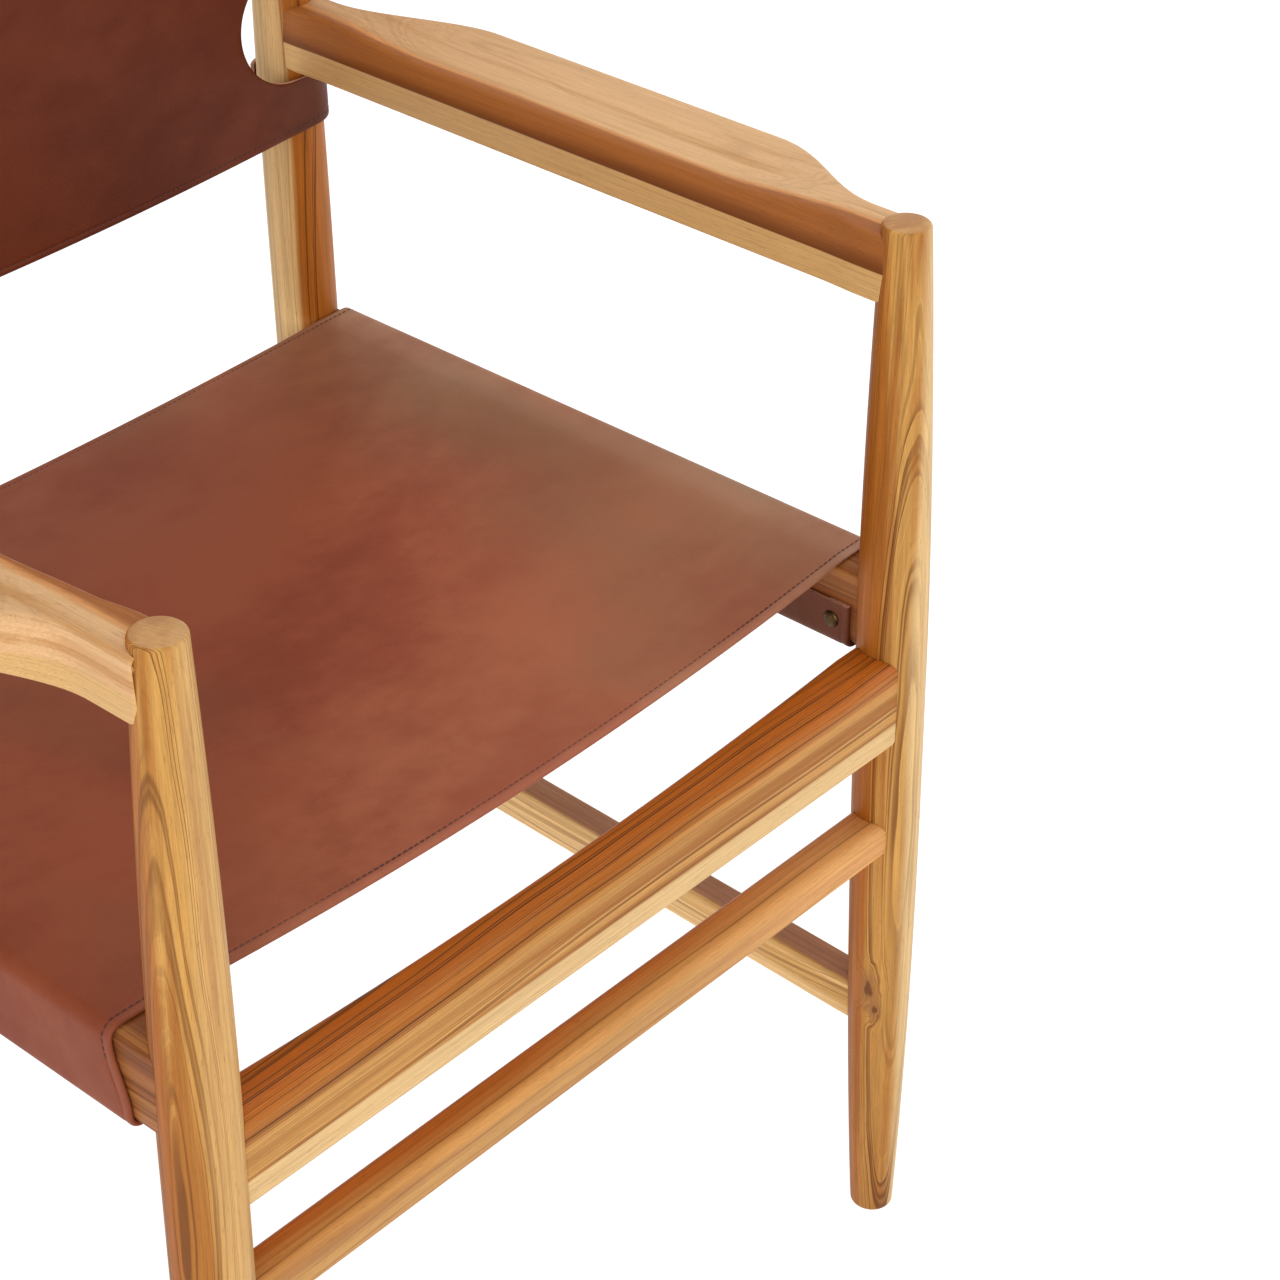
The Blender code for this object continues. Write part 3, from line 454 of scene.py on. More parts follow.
def cross_bar(name, at_back, material, section_at, level, stations):
    """Bar along x. section_at(x) gives its outline as (y, z) pairs, y from the leg axes."""
    middle_y = axis_point(1, at_back, level).y
    last = 0.215
    places = [last * (2 * k / stations - 1) for k in range(stations + 1)]
    rings = []
    for end in (-1, 1):
        ends = []
        for inset, shrink in ((-0.0007, 0.0006), (0.0004, 0.0), (0.0012, 0.0)):
            ring = []
            outline = section_at(end * last)
            for y, z in outline:
                x = end * (leg_face_x(at_back, middle_y + y, z) - inset)
                keep = 1 - shrink / 0.012
                centre_z = sum(p[1] for p in outline) / len(outline)
                point = Vector((x, middle_y + y * keep, centre_z + (z - centre_z) * keep))
                ring.append((point, (y, z - level, x)))
            ends.append(ring)
        if end < 0:
            rings += ends
            for x in places:
                rings.append([(Vector((x, middle_y + y, z)), (y, z - level, x)) for y, z in section_at(x)])
        else:
            rings += ends[::-1]
    add(name + "_wood", loft(name, rings), [material], [name])


def rail_section(low_point):
    """Section of a seat rail whose scooped top is lowest at low_point."""
    def section(x):
        rise = (x - low_point) / (LEG_SPACING / 2)
        top = RAIL_LOW_TOP + RAIL_SCOOP * rise * rise
        half = RAIL_THICKNESS / 2
        corners = [(-half, RAIL_BOTTOM, 0.0072), (half, RAIL_BOTTOM, 0.0072), (half, top, 0.0062), (-half, top, 0.0085)]
        return rounded_outline(corners)
    return section


def stretcher_section(x):
    half = STRETCHER_THICKNESS / 2
    top = STRETCHER_BOTTOM + STRETCHER_HEIGHT
    corners = [(-half, STRETCHER_BOTTOM, 0.005), (half, STRETCHER_BOTTOM, 0.005), (half, top, 0.005), (-half, top, 0.0062)]
    return rounded_outline(corners)


# Pieces of the side frames, coped the same way

def leg_face_y(at_back, x, z):
    height = SEAT_LEVEL + z * cos(SPLAY)
    radius = leg_radius(height, at_back)
    reach = sqrt(max(radius ** 2 - x ** 2, 0))
    if at_back:
        return FRAME_DEPTH + z * tan(BACK_LEAN) - reach
    return z * tan(FRONT_RAKE) + reach


def side_bar(name, side, material, section_at, places, level):
    """Bar of a side frame. section_at(y) gives its outline as local (x, z) pairs, x outward."""
    rings = []
    for at_back in (False, True):
        sign = -1 if at_back else 1
        ends = []
        for inset, shrink in ((-0.0007, 0.0006), (0.0004, 0.0), (0.0012, 0.0)):
            ring = []
            outline = section_at(places[-1] if at_back else places[0])
            centre_x = sum(p[0] for p in outline) / len(outline)
            centre_z = sum(p[1] for p in outline) / len(outline)
            keep = 1 - shrink / 0.012
            for x, z in outline:
                y = leg_face_y(at_back, x, z) + sign * inset
                point = Vector((side * (centre_x + (x - centre_x) * keep), y, centre_z + (z - centre_z) * keep))
                ring.append((FRAMES[side] @ point, (x, z - level, y)))
            ends.append(ring)
        if at_back:
            rings += ends[::-1]
        else:
            rings += ends
            for y in places:
                rings.append([(FRAMES[side] @ Vector((side * x, y, z)), (x, z - level, y)) for x, z in section_at(y)])
    return add(name + "_wood", loft(name, rings), [material], [name])


def side_rail_section(y):
    offset = SIDE_RAIL_FRONT_OFFSET + (SIDE_RAIL_BACK_OFFSET - SIDE_RAIL_FRONT_OFFSET) * y / FRAME_DEPTH
    top = SIDE_RAIL_TOP - SEAT_LEVEL
    half = SIDE_RAIL_THICKNESS / 2
    corners = [(offset - half, top - SIDE_RAIL_HEIGHT), (offset + half, top - SIDE_RAIL_HEIGHT), (offset + half, top), (offset - half, top)]
    return rounded_outline([(x, z, SIDE_RAIL_ROUND) for x, z in corners])


def side_stretcher_section(y):
    middle = 0.1555 + (0.1682 - 0.1555) * y / FRAME_DEPTH - SEAT_LEVEL
    corners = [(-0.01025, middle - 0.01425), (0.01025, middle - 0.01425), (0.01025, middle + 0.01425), (-0.01025, middle + 0.01425)]
    return rounded_outline([(x, z, 0.0038) for x, z in corners])


def arm_section(y):
    from_end = min(y - 0.0034, FRAME_DEPTH - 0.0014 - y)
    swell = ease((from_end - 0.029) / (0.121 - 0.029))
    flare = ease((0.045 - from_end) / (0.045 - 0.017))
    outer = 0.0160 + (0.0560 - 0.0160) * swell
    bottom = ARM_BOTTOM - SEAT_LEVEL
    ridge = ARM_RIDGE - SEAT_LEVEL
    top = ARM_END_TOP + (ARM_TOP - ARM_END_TOP) * swell - SEAT_LEVEL
    edge_bottom = 0.619 + (0.628 - 0.619) * swell - SEAT_LEVEL
    edge_round = 0.0032 + (0.0065 - 0.0032) * swell
    corners = [
        (-0.0120 - 0.0010 * flare, bottom, 0.0030), (0.0, bottom, 0.004), (outer - 0.002, edge_bottom, edge_round),
        (outer, top, edge_round), (-0.0075 - 0.0045 * flare, top, 0.0036 + 0.0018 * swell), (-0.0125 - 0.0007 * flare, ridge, 0.0012),
    ]
    return rounded_outline(corners)


# Leather seat

def seat_path(local_y, sag):
    """Right half of the seat's middle line in the chair's x and z, with the length along it."""
    lift = FIT + LEATHER / 2
    offset = SIDE_RAIL_FRONT_OFFSET + (SIDE_RAIL_BACK_OFFSET - SIDE_RAIL_FRONT_OFFSET) * local_y / FRAME_DEPTH
    inner, outer = offset - SIDE_RAIL_THICKNESS / 2, offset + SIDE_RAIL_THICKNESS / 2
    top = SIDE_RAIL_TOP - SEAT_LEVEL
    bottom = top - SIDE_RAIL_HEIGHT
    r = SIDE_RAIL_ROUND
    bend = r + lift
    slope = atan(2 * sag / (LEG_SPACING / 2 - SIDE_RAIL_THICKNESS / 2))
    low_in, low_out = (inner + r, bottom + r), (outer - r, bottom + r)
    high_out, high_in = (outer - r, top - r), (inner + r, top - r)

    def straight(a, b, steps):
        return [(a[0] + (b[0] - a[0]) * k / steps, a[1] + (b[1] - a[1]) * k / steps) for k in range(1, steps)]

    pieces = [
        [(inner - lift, FLAP_TOP - SEAT_LEVEL)],
        arc(low_in, bend, pi, 3 * pi / 2, 7),
        arc(low_out, bend, -pi / 2, 0, 7),
        arc(high_out, bend, 0, pi / 2, 7),
        arc(high_in, bend, pi / 2, pi / 2 + slope, 3),
    ]
    path = []
    for piece in pieces:
        if path:
            path += straight(path[-1], piece[0], 8)
        path += piece
    placed = [FRAMES[1] @ Vector((x, local_y, z)) for x, z in path]
    edge = placed[-1]
    for k in range(1, 41):
        x = edge.x * (1 - k / 40)
        placed.append(Vector((x, edge.y, edge.z - sag * (1 - (x / edge.x) ** 2))))
    return [(p.x, p.z) for p in placed]


def stands_back(column):
    """1 where the front hem stands back of the flaps, 0 on the flaps and under the rails."""
    last = len(seat_row(0.5)) - 1
    return ease((min(column, last - column) - 30) / 8)


def seat_front_at(column):
    return SEAT_FRONT + 0.010 * stands_back(column)


SEAT_ROWS = {}


def seat_row(share):
    """Middle line from one flap to the other at a share of the seat's depth."""
    key = round(share, 6)
    if key not in SEAT_ROWS:
        within = min(max(share, 0), 1)
        sag = 0.013 - 0.007 * within + 0.007 * sin(pi * within)
        half = seat_path(SEAT_FRONT + (SEAT_BACK - SEAT_FRONT) * share, sag)
        SEAT_ROWS[key] = half + [(-x, z) for x, z in reversed(half[:-1])]
    return SEAT_ROWS[key]


def hem_profile(length, hem, middle_steps):
    """Closed outline of a sheet with folded hems, as (distance from its edge, offset under its outer face, kind)."""
    fold, half = 0.0135, hem / 2
    one_end = [(half * (1 - sin(t)), -half * (1 - cos(t))) for t in [pi / 2 * k / 5 for k in range(5, -1, -1)]]
    dips = [SEAM + d for d in (-0.0019, -0.0010, -0.0006, 0, 0.0006, 0.0010, 0.0019, 0.0050)] + [fold, 0.017]
    top = [(d, 0.0) for d in dips]
    across = [0.017 + (length - 0.034) * k / middle_steps for k in range(1, middle_steps)]
    under = [(d, -hem) for d in (0.0036, 0.0055, 0.0085, 0.0115, fold - 0.0006)] + [(fold, -hem + 0.0005), (fold + 0.0002, -SHEET), (0.017, -SHEET)]
    lower = [(half * (1 - sin(t)), -hem + half * (1 - cos(t))) for t in [pi / 2 * k / 5 for k in range(4, -1, -1)]]
    outline = [(d, o, 0) for d, o in one_end + top] + [(d, 0.0, 0) for d in across]
    outline += [(length - d, o, 0) for d, o in reversed(one_end + top)]
    outline += [(length - d, o, 0) for d, o in lower[::1]] + [(length - d, o, 1) for d, o in under]
    outline += [(length - d, -SHEET, 1) for d in across]
    outline += [(d, o, 1) for d, o in reversed(under)] + [(d, o, 0) for d, o in reversed(lower)]
    return outline


def seat_surface(column, distance):
    """Point of the middle surface, by column of the row and distance from the front edge."""
    front = seat_front_at(column)
    share = round(distance / (SEAT_BACK - front) * 400) / 400
    x, z = seat_row(share)[column]
    return Vector((x, FRONT_Y + front + distance, z))


def stitches(name, points, normals, material, length=0.0030, pitch=0.0038, radius=0.00036):
    """A row of short sunk threads along a line of points."""
    total, places = 0.0, [0.0]
    for a, b in zip(points, points[1:]):
        total += (b - a).length
        places.append(total)

    def at(distance):
        k = 0
        while k < len(places) - 2 and places[k + 1] < distance:
            k += 1
        share = (distance - places[k]) / max(places[k + 1] - places[k], 1e-9)
        return points[k].lerp(points[k + 1], share), normals[k].lerp(normals[k + 1], share).normalized()

    mesh = bpy.data.meshes.new(name)
    shape = bmesh.new()
    start = pitch
    while start + length < total - pitch:
        loops = []
        for share, thick in ((0.0, 0.25), (0.12, 0.85), (0.5, 1.0), (0.88, 0.85), (1.0, 0.25)):
            place, up = at(start + length * share)
            ahead, _ = at(start + length * share + 0.0004)
            along = (ahead - place).normalized()
            aside = along.cross(up).normalized()
            lift = up * (radius * (0.9 * sin(pi * share) - 0.35))
            loop = []
            for k in range(6):
                turn = 2 * pi * k / 6
                loop.append(shape.verts.new(place + lift + (aside * cos(turn) + up * sin(turn)) * radius * thick))
            loops.append(loop)
        for lower, upper in zip(loops, loops[1:]):
            for k in range(6):
                shape.faces.new((lower[k], lower[(k + 1) % 6], upper[(k + 1) % 6], upper[k]))
        shape.faces.new(list(reversed(loops[0])))
        shape.faces.new(loops[-1])
        start += pitch
    bmesh.ops.recalc_face_normals(shape, faces=shape.faces)
    shape.to_mesh(mesh)
    shape.free()
    mesh.shade_smooth()
    return add(name, mesh, [material])


def groove(distance, length):
    """Depth of the sunk stitch lines under the outer face."""
    near = min(abs(distance - SEAM), abs(length - SEAM - distance))
    return 0.00045 * exp(-(near / 0.0007) ** 2)


def build_seat(outer, flap, inner, cut, thread):
    columns = len(seat_row(0.5))
    rings, front_line, back_line = [], [], []
    for column in range(columns):
        x_middle = seat_row(0.5)[column][0]
        z_middle = seat_row(0.5)[column][1]
        on_span = ease((0.236 - abs(x_middle)) / 0.02) if z_middle > 0.43 else 0.0
        hem = LEATHER + 0.0015 * on_span
        length = SEAT_BACK - seat_front_at(column)
        ring = []

        def normal_at(distance):
            before = seat_surface(max(column - 1, 0), distance)
            after = seat_surface(min(column + 1, columns - 1), distance)
            ahead = seat_surface(column, min(distance + 0.02, length))
            behind = seat_surface(column, max(distance - 0.02, 0))
            return (after - before).cross(ahead - behind).normalized() * -1

        for distance, offset, kind in hem_profile(length, hem, 44):
            spot = seat_surface(column, distance)
            up = normal_at(distance)
            lift = LEATHER / 2 + offset
            if offset == 0.0:
                lift -= groove(distance, length)
                lift += on_span * wobble(spot.x * 14, spot.y * 14, 0.3, 0.0006)
            ring.append((spot + up * lift, (column * 0.006, distance, offset)))
        rings.append(ring)
        for line, distance in ((front_line, SEAM), (back_line, length - SEAM)):
            if stands_back(column) > 0.5:
                spot, up = seat_surface(column, distance), normal_at(distance)
                line.append((spot + up * (LEATHER / 2 - 0.00035), up))
    # Grain coordinates follow the sheet, so the metres along the path are summed up here
    along = 0.0
    for j, ring in enumerate(rings):
        if j:
            along += (ring[20][0] - rings[j - 1][20][0]).length
        rings[j] = [(point, (along, g[1], g[2])) for point, g in ring]
    kinds = [kind for _, _, kind in hem_profile(0.4, LEATHER, 44)]

    on_flap = [z < FLAP_TOP + LEATHER / 2 and abs(x) < LEG_SPACING / 2 for x, z in seat_row(0.5)]

    def material_of(j, i):
        return 2 if j < 0 else 3 if kinds[i] == 0 and on_flap[j] else kinds[i]

    mesh = loft("seat", rings, material_of)
    seat = add("seat_leather_sling", mesh, [outer, inner, cut, flap], ["seat_sling"], radians(50))
    for name, line in (("seat_stitches_front", front_line), ("seat_stitches_back", back_line)):
        stitches(name, [p for p, _ in line], [n for _, n in line], thread)
    return seat


# Leather back

def back_row(height):
    """Middle line in plan at one height, from one wrapped end to the other."""
    post = axis_point(1, True, height)
    reach = leg_radius(height, True) + FIT + LEATHER / 2
    half = arc((post.x, post.y), reach, BACK_END, -pi / 2, 36)
    for k in range(1, 41):
        x = post.x * (1 - k / 40)
        half.append((x, post.y - reach + BACK_BOW * (1 - (x / post.x) ** 2)))
    return half + [(-x, y) for x, y in reversed(half[:-1])], post, reach


BACK_ROWS = {}


def back_surface(column, distance):
    height = round((BACK_BOTTOM + distance) * 1000) / 1000
    if height not in BACK_ROWS:
        BACK_ROWS[height] = back_row(height)
    row, post, _ = BACK_ROWS[height]
    x, y = row[column]
    drop = 0.0 if y > post.y or abs(x) > post.x else BACK_DIP * (1 - (x / post.x) ** 2)
    return Vector((x, y, BACK_BOTTOM + distance - drop))


def notch_solid(side, material):
    post = axis_point(side, True, NOTCH_BOTTOM)
    outline = arc((NOTCH_CENTRE, NOTCH_BOTTOM + NOTCH_RADIUS), NOTCH_RADIUS, pi / 2, 3 * pi / 2, 40)
    outer = abs(post.x) + BELLY + 0.02
    outline += [(outer, NOTCH_BOTTOM), (outer, NOTCH_BOTTOM + 2 * NOTCH_RADIUS)]
    rings = [[(Vector((side * x, y, z)), (x, z, y)) for x, z in outline] for y in (post.y - 0.05, post.y + 0.05)]
    mesh = loft("notch", rings, lambda j, i: 2)
    for _ in range(3):
        mesh.materials.append(material)
    tool = bpy.data.objects.new(f"notch_tool_{side}", mesh)
    bpy.context.scene.collection.objects.link(tool)
    return tool


def build_back(outer, inner, cut, thread):
    length = BACK_TOP - BACK_BOTTOM
    columns = len(back_row(0.7)[0])
    rings, low_line, high_line = [], [], []
    post_x = axis_point(1, True, 0.68).x
    for column in range(columns):
        x, y = back_row(0.68)[0][column]
        on_span = ease((post_x - 0.004 - abs(x)) / 0.02) if y < axis_point(1, True, 0.68).y else 0.0
        hem = LEATHER + 0.0013 * on_span

        def normal_at(distance):
            before = back_surface(max(column - 1, 0), distance)
            after = back_surface(min(column + 1, columns - 1), distance)
            return Vector((0, 0, 1)).cross(after - before).normalized()

        ring = []
        for distance, offset, kind in hem_profile(length, hem, 34):
            spot = back_surface(column, distance)
            up = normal_at(distance)
            lift = LEATHER / 2 + offset
            if offset == 0.0:
                lift -= groove(distance, length)
                lift += on_span * wobble(spot.x * 12, spot.z * 12, 3.3, 0.0006)
            ring.append((spot + up * lift, (0.0, distance, offset)))
        rings.append(ring)
        for line, distance in ((low_line, SEAM), (high_line, length - SEAM)):
            spot, up = back_surface(column, distance), normal_at(distance)
            line.append((spot + up * (LEATHER / 2 - 0.00035), up))
    along = 0.0
    for j, ring in enumerate(rings):
        if j:
            along += (ring[20][0] - rings[j - 1][20][0]).length
        rings[j] = [(point, (along, g[1], g[2])) for point, g in ring]
    kinds = [kind for _, _, kind in hem_profile(length, LEATHER, 34)]
    mesh = loft("back", rings, lambda j, i: 2 if j < 0 else kinds[i])
    back = add("back_leather_sling", mesh, [outer, inner, cut], ["back_sling"], radians(50))
    tools = []
    for side in (1, -1):
        tool = notch_solid(side, cut)
        change = back.modifiers.new("notch", "BOOLEAN")
        change.object, change.operation, change.solver = tool, "DIFFERENCE", "EXACT"
        tools.append(tool)
    bpy.context.view_layer.update()
    final = bpy.data.meshes.new_from_object(back.evaluated_get(bpy.context.evaluated_depsgraph_get()))
    back.modifiers.clear()
    back.data = final
    for tool in tools:
        bpy.data.objects.remove(tool)
    for name, line in (("back_stitches_low", low_line), ("back_stitches_high", high_line)):
        stitches(name, [p for p, _ in line], [n for _, n in line], thread)
    return back


# Studs

def stud_places(side):
    """Name and matrix of each stud. The z axis comes out of the leather."""
    places = {}
    lift = SIDE_RAIL_THICKNESS / 2 + FIT + LEATHER
    first, last = SEAT_FRONT + 0.011, SEAT_BACK - 0.011
    for i in range(5):
        y = first + (last - first) * i / 4
        offset = SIDE_RAIL_FRONT_OFFSET + (SIDE_RAIL_BACK_OFFSET - SIDE_RAIL_FRONT_OFFSET) * y / FRAME_DEPTH
        spot = Matrix.Translation((side * (offset - lift), y, 0.4178 - SEAT_LEVEL))
        places[f"seat_stud_{'right' if side > 0 else 'left'}_{i + 1}"] = FRAMES[side] @ spot @ Matrix.Rotation(-side * pi / 2, 4, "Y")
    for i, height in enumerate((0.596, 0.704, 0.761)):
        post = axis_point(side, True, height)
        face = leg_radius(height, True) + LEATHER + FIT
        turn = Matrix.Rotation(-pi / 2 - BACK_LEAN, 4, "X")
        places[f"back_stud_{'right' if side > 0 else 'left'}_{i + 1}"] = Matrix.Translation((post.x, post.y + face, height)) @ turn
    return places


def build_studs(material):
    for side in (1, -1):
        for name, place in stud_places(side).items():
            profile = [(STUD_HEAD - 0.0012, -0.0012), (STUD_HEAD - 0.0002, -0.0002), (STUD_HEAD, 0.0002), (STUD_HEAD - 0.0001, STUD_RIM)]
            for k in range(1, 9):
                turn = pi / 2 * k / 9
                profile.append(((STUD_HEAD - 0.0004) * cos(turn), STUD_RIM + (STUD_HEIGHT - STUD_RIM) * sin(turn)))
            rings = []
            for radius, height in profile:
                ring = []
                for k in range(36):
                    turn = 2 * pi * k / 36
                    point = place @ Vector((radius * cos(turn), radius * sin(turn), height))
                    ring.append((point, tuple(point)))
                rings.append(ring)
            add(name + "_head", loft(name, rings), [material], [name], radians(50))


# Wood

# The camera looks at the legs from this side, and this is its right
FACING, ACROSS = Vector((-0.746, -0.666, 0)), Vector((0.666, -0.746, 0))
LEFTWARDS = -ACROSS


def turned(angle, distance):
    """Pith of a leg, behind the side that is turned by this angle from the camera to the right."""
    side = FACING * cos(radians(angle)) + ACROSS * sin(radians(angle))
    return tuple(-side * distance)[:2]


# Front legs: darker low down; a heartwood side toward the camera's left; a pale side toward the camera's right, sapwood
# and painted light
low_down = (Vector((0, 0, -1)), -0.22, 0.16, 0.45, "A26A2A")
leg_zones = [low_down, (LEFTWARDS, 0.0085, 0.003, 0.8, HEART), (ACROSS, 0.0100, 0.003, 0.78, SAPWOOD_AND_LIGHT)]


def knot_at(angle, height, size):
    """Knot on the skin of the front leg, turned by this angle from the camera to the left."""
    side = FACING * cos(radians(angle)) + LEFTWARDS * sin(radians(angle))
    return (*(side * leg_radius(height, False))[:2], height), size


leg_knots = [knot_at(25, 0.180, 0.0040), knot_at(12, 0.164, 0.0024)]
build_leg("right", False, teak("teak_leg_right", 11, turned(24, 0.060), 0.0056, 0.85, zones=leg_zones, knots=leg_knots, end_grain=True))
left_zones = [low_down, (LEFTWARDS, 0.009, 0.003, 0.8, HEART), (ACROSS, 0.008, 0.004, 0.3, SAPWOOD_AND_LIGHT)]
build_leg("left", False, teak("teak_leg_left", 12, turned(-20, 0.06), 0.0056, 0.7, zones=left_zones, end_grain=True))
post_zones = [(ACROSS, -0.003, 0.0012, 0.85, HEART), (LEFTWARDS, 0.003, 0.003, 0.75, SAPWOOD_AND_LIGHT)]
build_leg("right", True, teak("teak_post_right", 13, turned(75, 0.05), 0.005, zones=post_zones, end_grain=True))
build_leg("left", True, teak("teak_post_left", 14, turned(-30, 0.05), 0.004, zones=[(ACROSS, 0.006, 0.002, 0.8, HEART)], end_grain=True))

rail_level = (RAIL_BOTTOM + RAIL_LOW_TOP + RAIL_SCOOP) / 2
stretcher_level = STRETCHER_BOTTOM + STRETCHER_HEIGHT / 2
# Rail zones: the top face orange-brown, its own tone and painted shade under the seat's edge; the lower band pale,
# sapwood and painted light from the floor
rail_tones_and_painted_light = [((0.5, 1, 0), 0.0110, 0.0120, 0.95, "B45A10"), ((0.15, -1, 0), 0.0090, 0.0010, 0.85, SAPWOOD_AND_LIGHT)]
wood = teak("teak_front_rail", 25, (0.08, 0.10), 0.0075, 1.2, wander=0.016, zones=rail_tones_and_painted_light, gold="C8924E", deep="A46828",
            fine=0.08, lean=-0.016)
cross_bar("front_rail", False, wood, rail_section(-0.030), rail_level, 60)
wood = teak("teak_back_rail", 22, (-0.10, 0.09), 0.0070, 1.2, zones=rail_tones_and_painted_light, fine=0.1, lean=0.014)
cross_bar("back_rail", True, wood, rail_section(0.0), rail_level, 60)
# Front stretcher zones: a painted highlight along the upper front arris; the top face darker orange-brown, its own tone
# and painted shade under the seat and rail; paler toward the right end
stretcher_tones_and_painted_light = [((0, 1, 0), 0.0085, 0.0020, 0.6, "E8A45C"), ((0.5, 1, 0), 0.0110, 0.0045, 0.9, "CC6C24"),
             ((0, 0, 1), 0.12, 0.08, 0.5, "F0AC68")]
wood = teak("teak_front_stretcher", 23, (0.08, 0.05), 0.005, 0.4, 0.5, zones=stretcher_tones_and_painted_light, gold="C49254", deep="B27C48")
cross_bar("front_stretcher", False, wood, stretcher_section, stretcher_level, 40)
cross_bar("back_stretcher", True, teak("teak_back_stretcher", 24, (0.06, 0.08), 0.005, 0.5), stretcher_section, stretcher_level, 40)

places_short = [0.021 + (FRAME_DEPTH - 0.042) * k / 40 for k in range(41)]
arm_places = [0.019 + (FRAME_DEPTH - 0.042) * k / 80 for k in range(81)]
# The side stretchers' tops are painted darker and mauve: painted shade under the seat
stretcher_top_painted_shade = [((0, 1, -0.028), 0.0068, 0.001, 0.9, "A06C54")]
# Arm zones, in order: darker toward the back end; a painted highlight along the arris between top and inner face; the
# upper inner facet darker and darkest toward the ridge, the wood's deeper tone and painted shade; the lower inner facet
# paler, pale wood and painted light from the floor
arm_tones_and_painted_light = [((0, 0, 1), 0.30, 0.10, 0.45, "B4804E"), ((-1, 0.35, 0), 0.0058, 0.0020, 0.75, "D48A46"),
             ((-1, 0.35, 0), 0.0090, 0.0015, 0.92, "9C5A28"), ((-1, -1, 0), 0.0050, 0.0070, 0.9, "6A3616"),
             ((0, -1, 0), -0.0015, 0.0004, 0.95, "D6AA6E")]
for i, (side_name, side) in enumerate(SIDES.items()):
    wood = teak("teak_side_rail_" + side_name, 31 + i, (0.06, 0.05), 0.004, 0.9, 0.7, gold="A86C3A", deep="7E4624")
    side_bar("side_rail_" + side_name, side, wood, side_rail_section, places_short, SIDE_RAIL_TOP - SIDE_RAIL_HEIGHT / 2 - SEAT_LEVEL)
    wood = teak("teak_side_stretcher_" + side_name, 41 + i, (0.10, 0.03), 0.0035, 0.4, 0.4, zones=stretcher_top_painted_shade, gold="ECC286", deep="CE9E5A", fine=0.5)
    side_bar("side_stretcher_" + side_name, side, wood, side_stretcher_section, places_short, 0.162 - SEAT_LEVEL)
    wood = teak("teak_arm_" + side_name, 51 + i, (0.03, -0.10), 0.0045, 0.18, 0.3, 0.006, zones=arm_tones_and_painted_light, gold="DEB07E", deep="C8935C")
    side_bar("arm_" + side_name, side, wood, arm_section, arm_places, (ARM_BOTTOM + ARM_TOP) / 2 - SEAT_LEVEL)

# Leather and metal
thread = thread_material()
# Painted light and shade on the seat, in order: painted shade over the half toward the camera's left; painted sheen,
# lighter and greyer, to the right, to the back and to the front; two painted highlights along the right edge where the
# sheet turns over the rail; painted sheen away from the camera; darker and redder where the sheet wraps round the right
# side rail; a painted highlight along the front hem's edge
seat_painted_light = [("place", (-0.666, 0.746, 0), -0.06, 0.065, (0.71, 0.60, 0.53)), ("place", (1, 0, 0), 0.17, 0.06, (0.93, 1.2, 1.3)),
              ("place", (0, 1, 0), 0.12, 0.08, (1.03, 1.2, 1.3)), ("place", (0.3, -1, 0), 0.14, 0.08, (1.03, 1.16, 1.2)),
              ("place", (1, 0, 0), 0.226, 0.026, (1.08, 1.20, 1.27)),
              ("place", (1, 0, 0), 0.243, 0.013, (1.19, 1.34, 1.44)),
              ("place", (0.746, 0.666, 0), 0.19, 0.05, (1.12, 1.20, 1.22)),
              ("grain", (-1, 0, 0), -0.1050, 0.0040, (0.78, 0.50, 0.42)), ("grain", (0, -1, 0), -0.0036, 0.0008, (1.10, 1.30, 1.50))]
seat_leather = leather("seat_leather", "A65C3E", "8C4029", 61, stain="84563A", painted_light=seat_painted_light)
# The flap leather is darker than the seat: its own duller finish and painted shade inside the rail
flap_leather = leather("seat_flap_leather", "6E3E2A", "54301F", 63, rough=(0.45, 0.6))
# The back sheet is painted darker where it nears the right post: painted shade
back_leather = leather("back_leather", "6A2E16", "522010", 62, rough=(0.42, 0.56), painted_light=[("place", (1, 0, 0), 0.22, 0.03, (0.72, 0.85, 0.8))])
flesh = suede("leather_flesh_side", "8C6B58", "6E4E3E")
cut_edge = suede("leather_cut_edge", "C8957A", "A87258")
build_seat(seat_leather, flap_leather, flesh, cut_edge, thread)
build_back(back_leather, flesh, cut_edge, thread)
build_studs(brass())

# Floor, light and camera

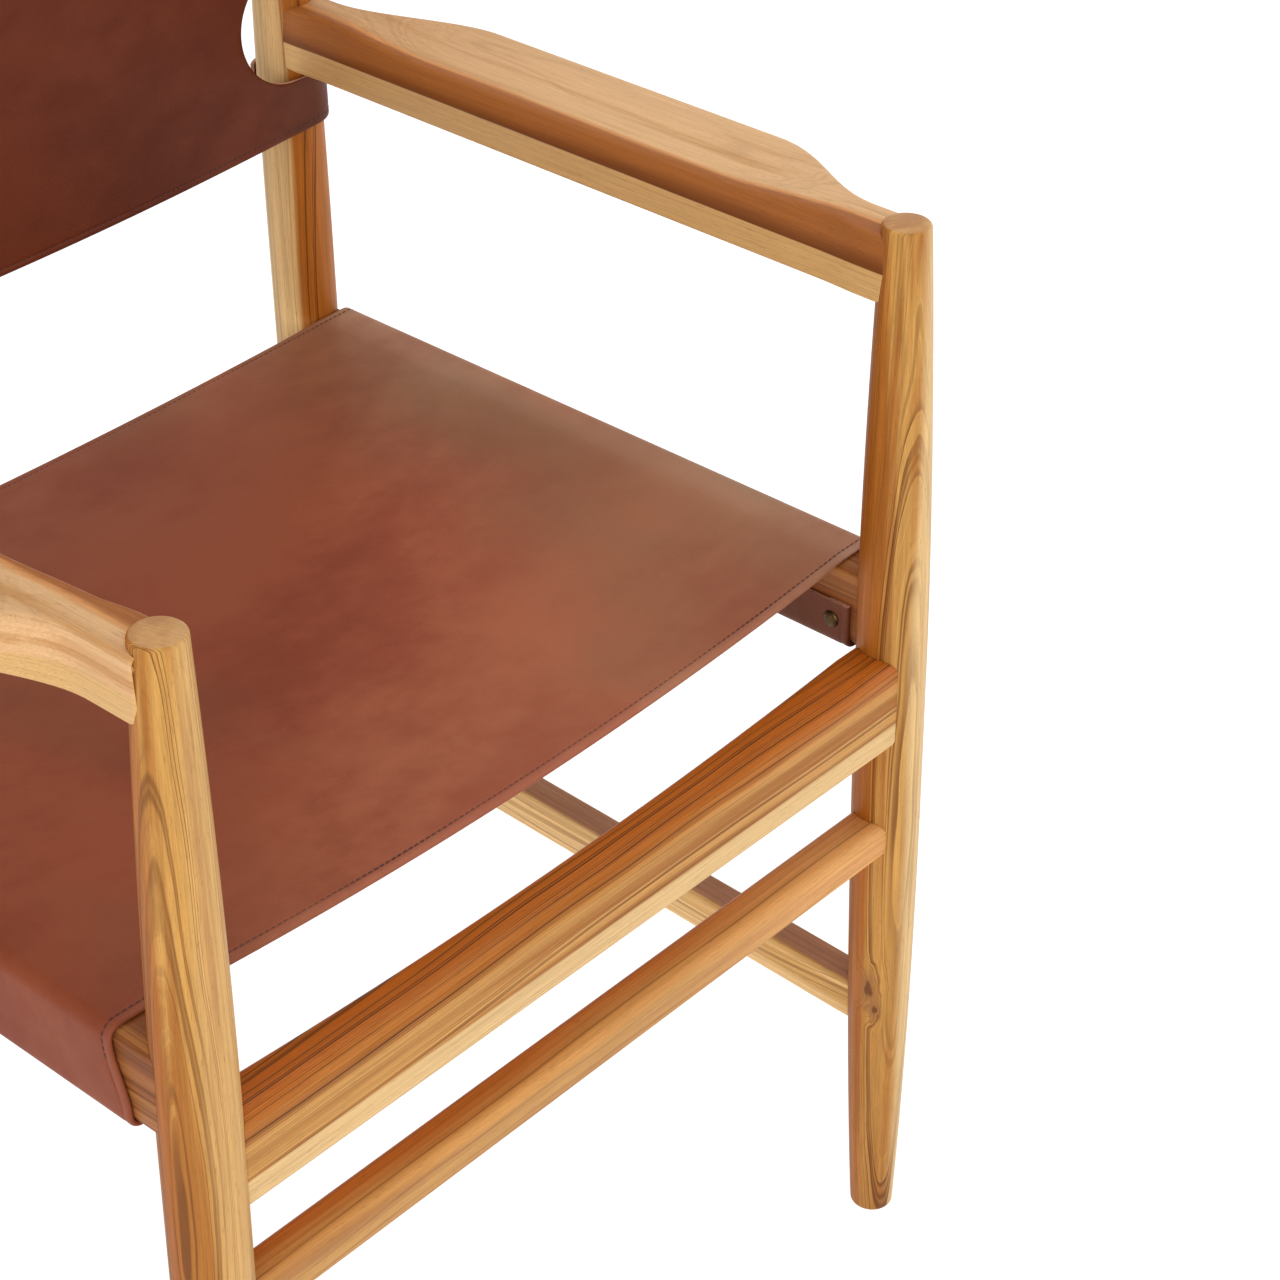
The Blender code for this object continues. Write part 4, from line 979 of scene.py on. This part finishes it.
floor_mesh = bpy.data.meshes.new("floor")
floor_mesh.from_pydata([(-8, -8, 0), (8, -8, 0), (8, 8, 0), (-8, 8, 0)], [], [(0, 1, 2, 3)])
floor_material = bpy.data.materials.new("pale_floor")
floor_material.use_nodes = True
tree = floor_material.node_tree
tree.nodes.clear()
glow = node(tree, "ShaderNodeEmission", {"Color": (1, 1, 1, 1), "Strength": 0.93})
matt = node(tree, "ShaderNodeBsdfDiffuse", {"Color": (0.3, 0.3, 0.3, 1)})
both = node(tree, "ShaderNodeAddShader", {0: glow.outputs[0], 1: matt.outputs[0]})
output = node(tree, "ShaderNodeOutputMaterial", {"Surface": both.outputs[0]})
floor_mesh.materials.append(floor_material)
floor = bpy.data.objects.new("floor", floor_mesh)
bpy.context.scene.collection.objects.link(floor)

world = bpy.data.worlds.new("studio")
bpy.context.scene.world = world
world.use_nodes = True
tree = world.node_tree
tree.nodes.clear()
rays = node(tree, "ShaderNodeLightPath").outputs
seen = maths(tree, "MAXIMUM", rays["Is Camera Ray"], maths(tree, "MAXIMUM", rays["Is Glossy Ray"], rays["Is Transmission Ray"]))
direction = node(tree, "ShaderNodeTexCoord").outputs["Generated"]
towards = node(tree, "ShaderNodeVectorMath", {0: direction, 1: (-0.60, -0.65, 0.46)}, operation="DOT_PRODUCT").outputs["Value"]
studio = smoothstep(tree, towards, -0.6, 1.0, 0.25, 0.80)
strength = maths(tree, "MAXIMUM", seen, studio)
sky = node(tree, "ShaderNodeBackground", {"Color": (1, 1, 1, 1), "Strength": strength})
node(tree, "ShaderNodeOutputWorld", {"Surface": sky.outputs[0]})


def softbox(name, place, target, size, power):
    light = bpy.data.lights.new(name, "AREA")
    light.shape = "RECTANGLE"
    light.size, light.size_y = size
    light.energy = power
    lamp = bpy.data.objects.new(name, light)
    bpy.context.scene.collection.objects.link(lamp)
    lamp.location = place
    lamp.rotation_euler = (Vector(target) - Vector(place)).to_track_quat("-Z", "Y").to_euler()


softbox("overhead", (0.4, 0.5, 2.6), (0, 0, 0.4), (1.8, 1.4), 16)
softbox("right", (2.2, -1.5, 1.1), (0, 0, 0.4), (1.2, 1.6), 18)
softbox("left", (-2.2, -1.8, 1.2), (0, 0, 0.4), (1.6, 1.6), 24)

camera_data = bpy.data.cameras.new("camera")
camera_data.sensor_width = 36
camera_data.lens = 86.6532
camera_data.shift_x, camera_data.shift_y = 0.015625, -0.015625
camera = bpy.data.objects.new("camera", camera_data)
bpy.context.scene.collection.objects.link(camera)
camera.location = (-0.8704, -0.80272 + FRONT_Y, 1.3294)
camera.rotation_euler = (radians(56.5017), 0, radians(-48.2487))
bpy.context.scene.camera = camera
bpy.context.scene.view_settings.view_transform = "Standard"
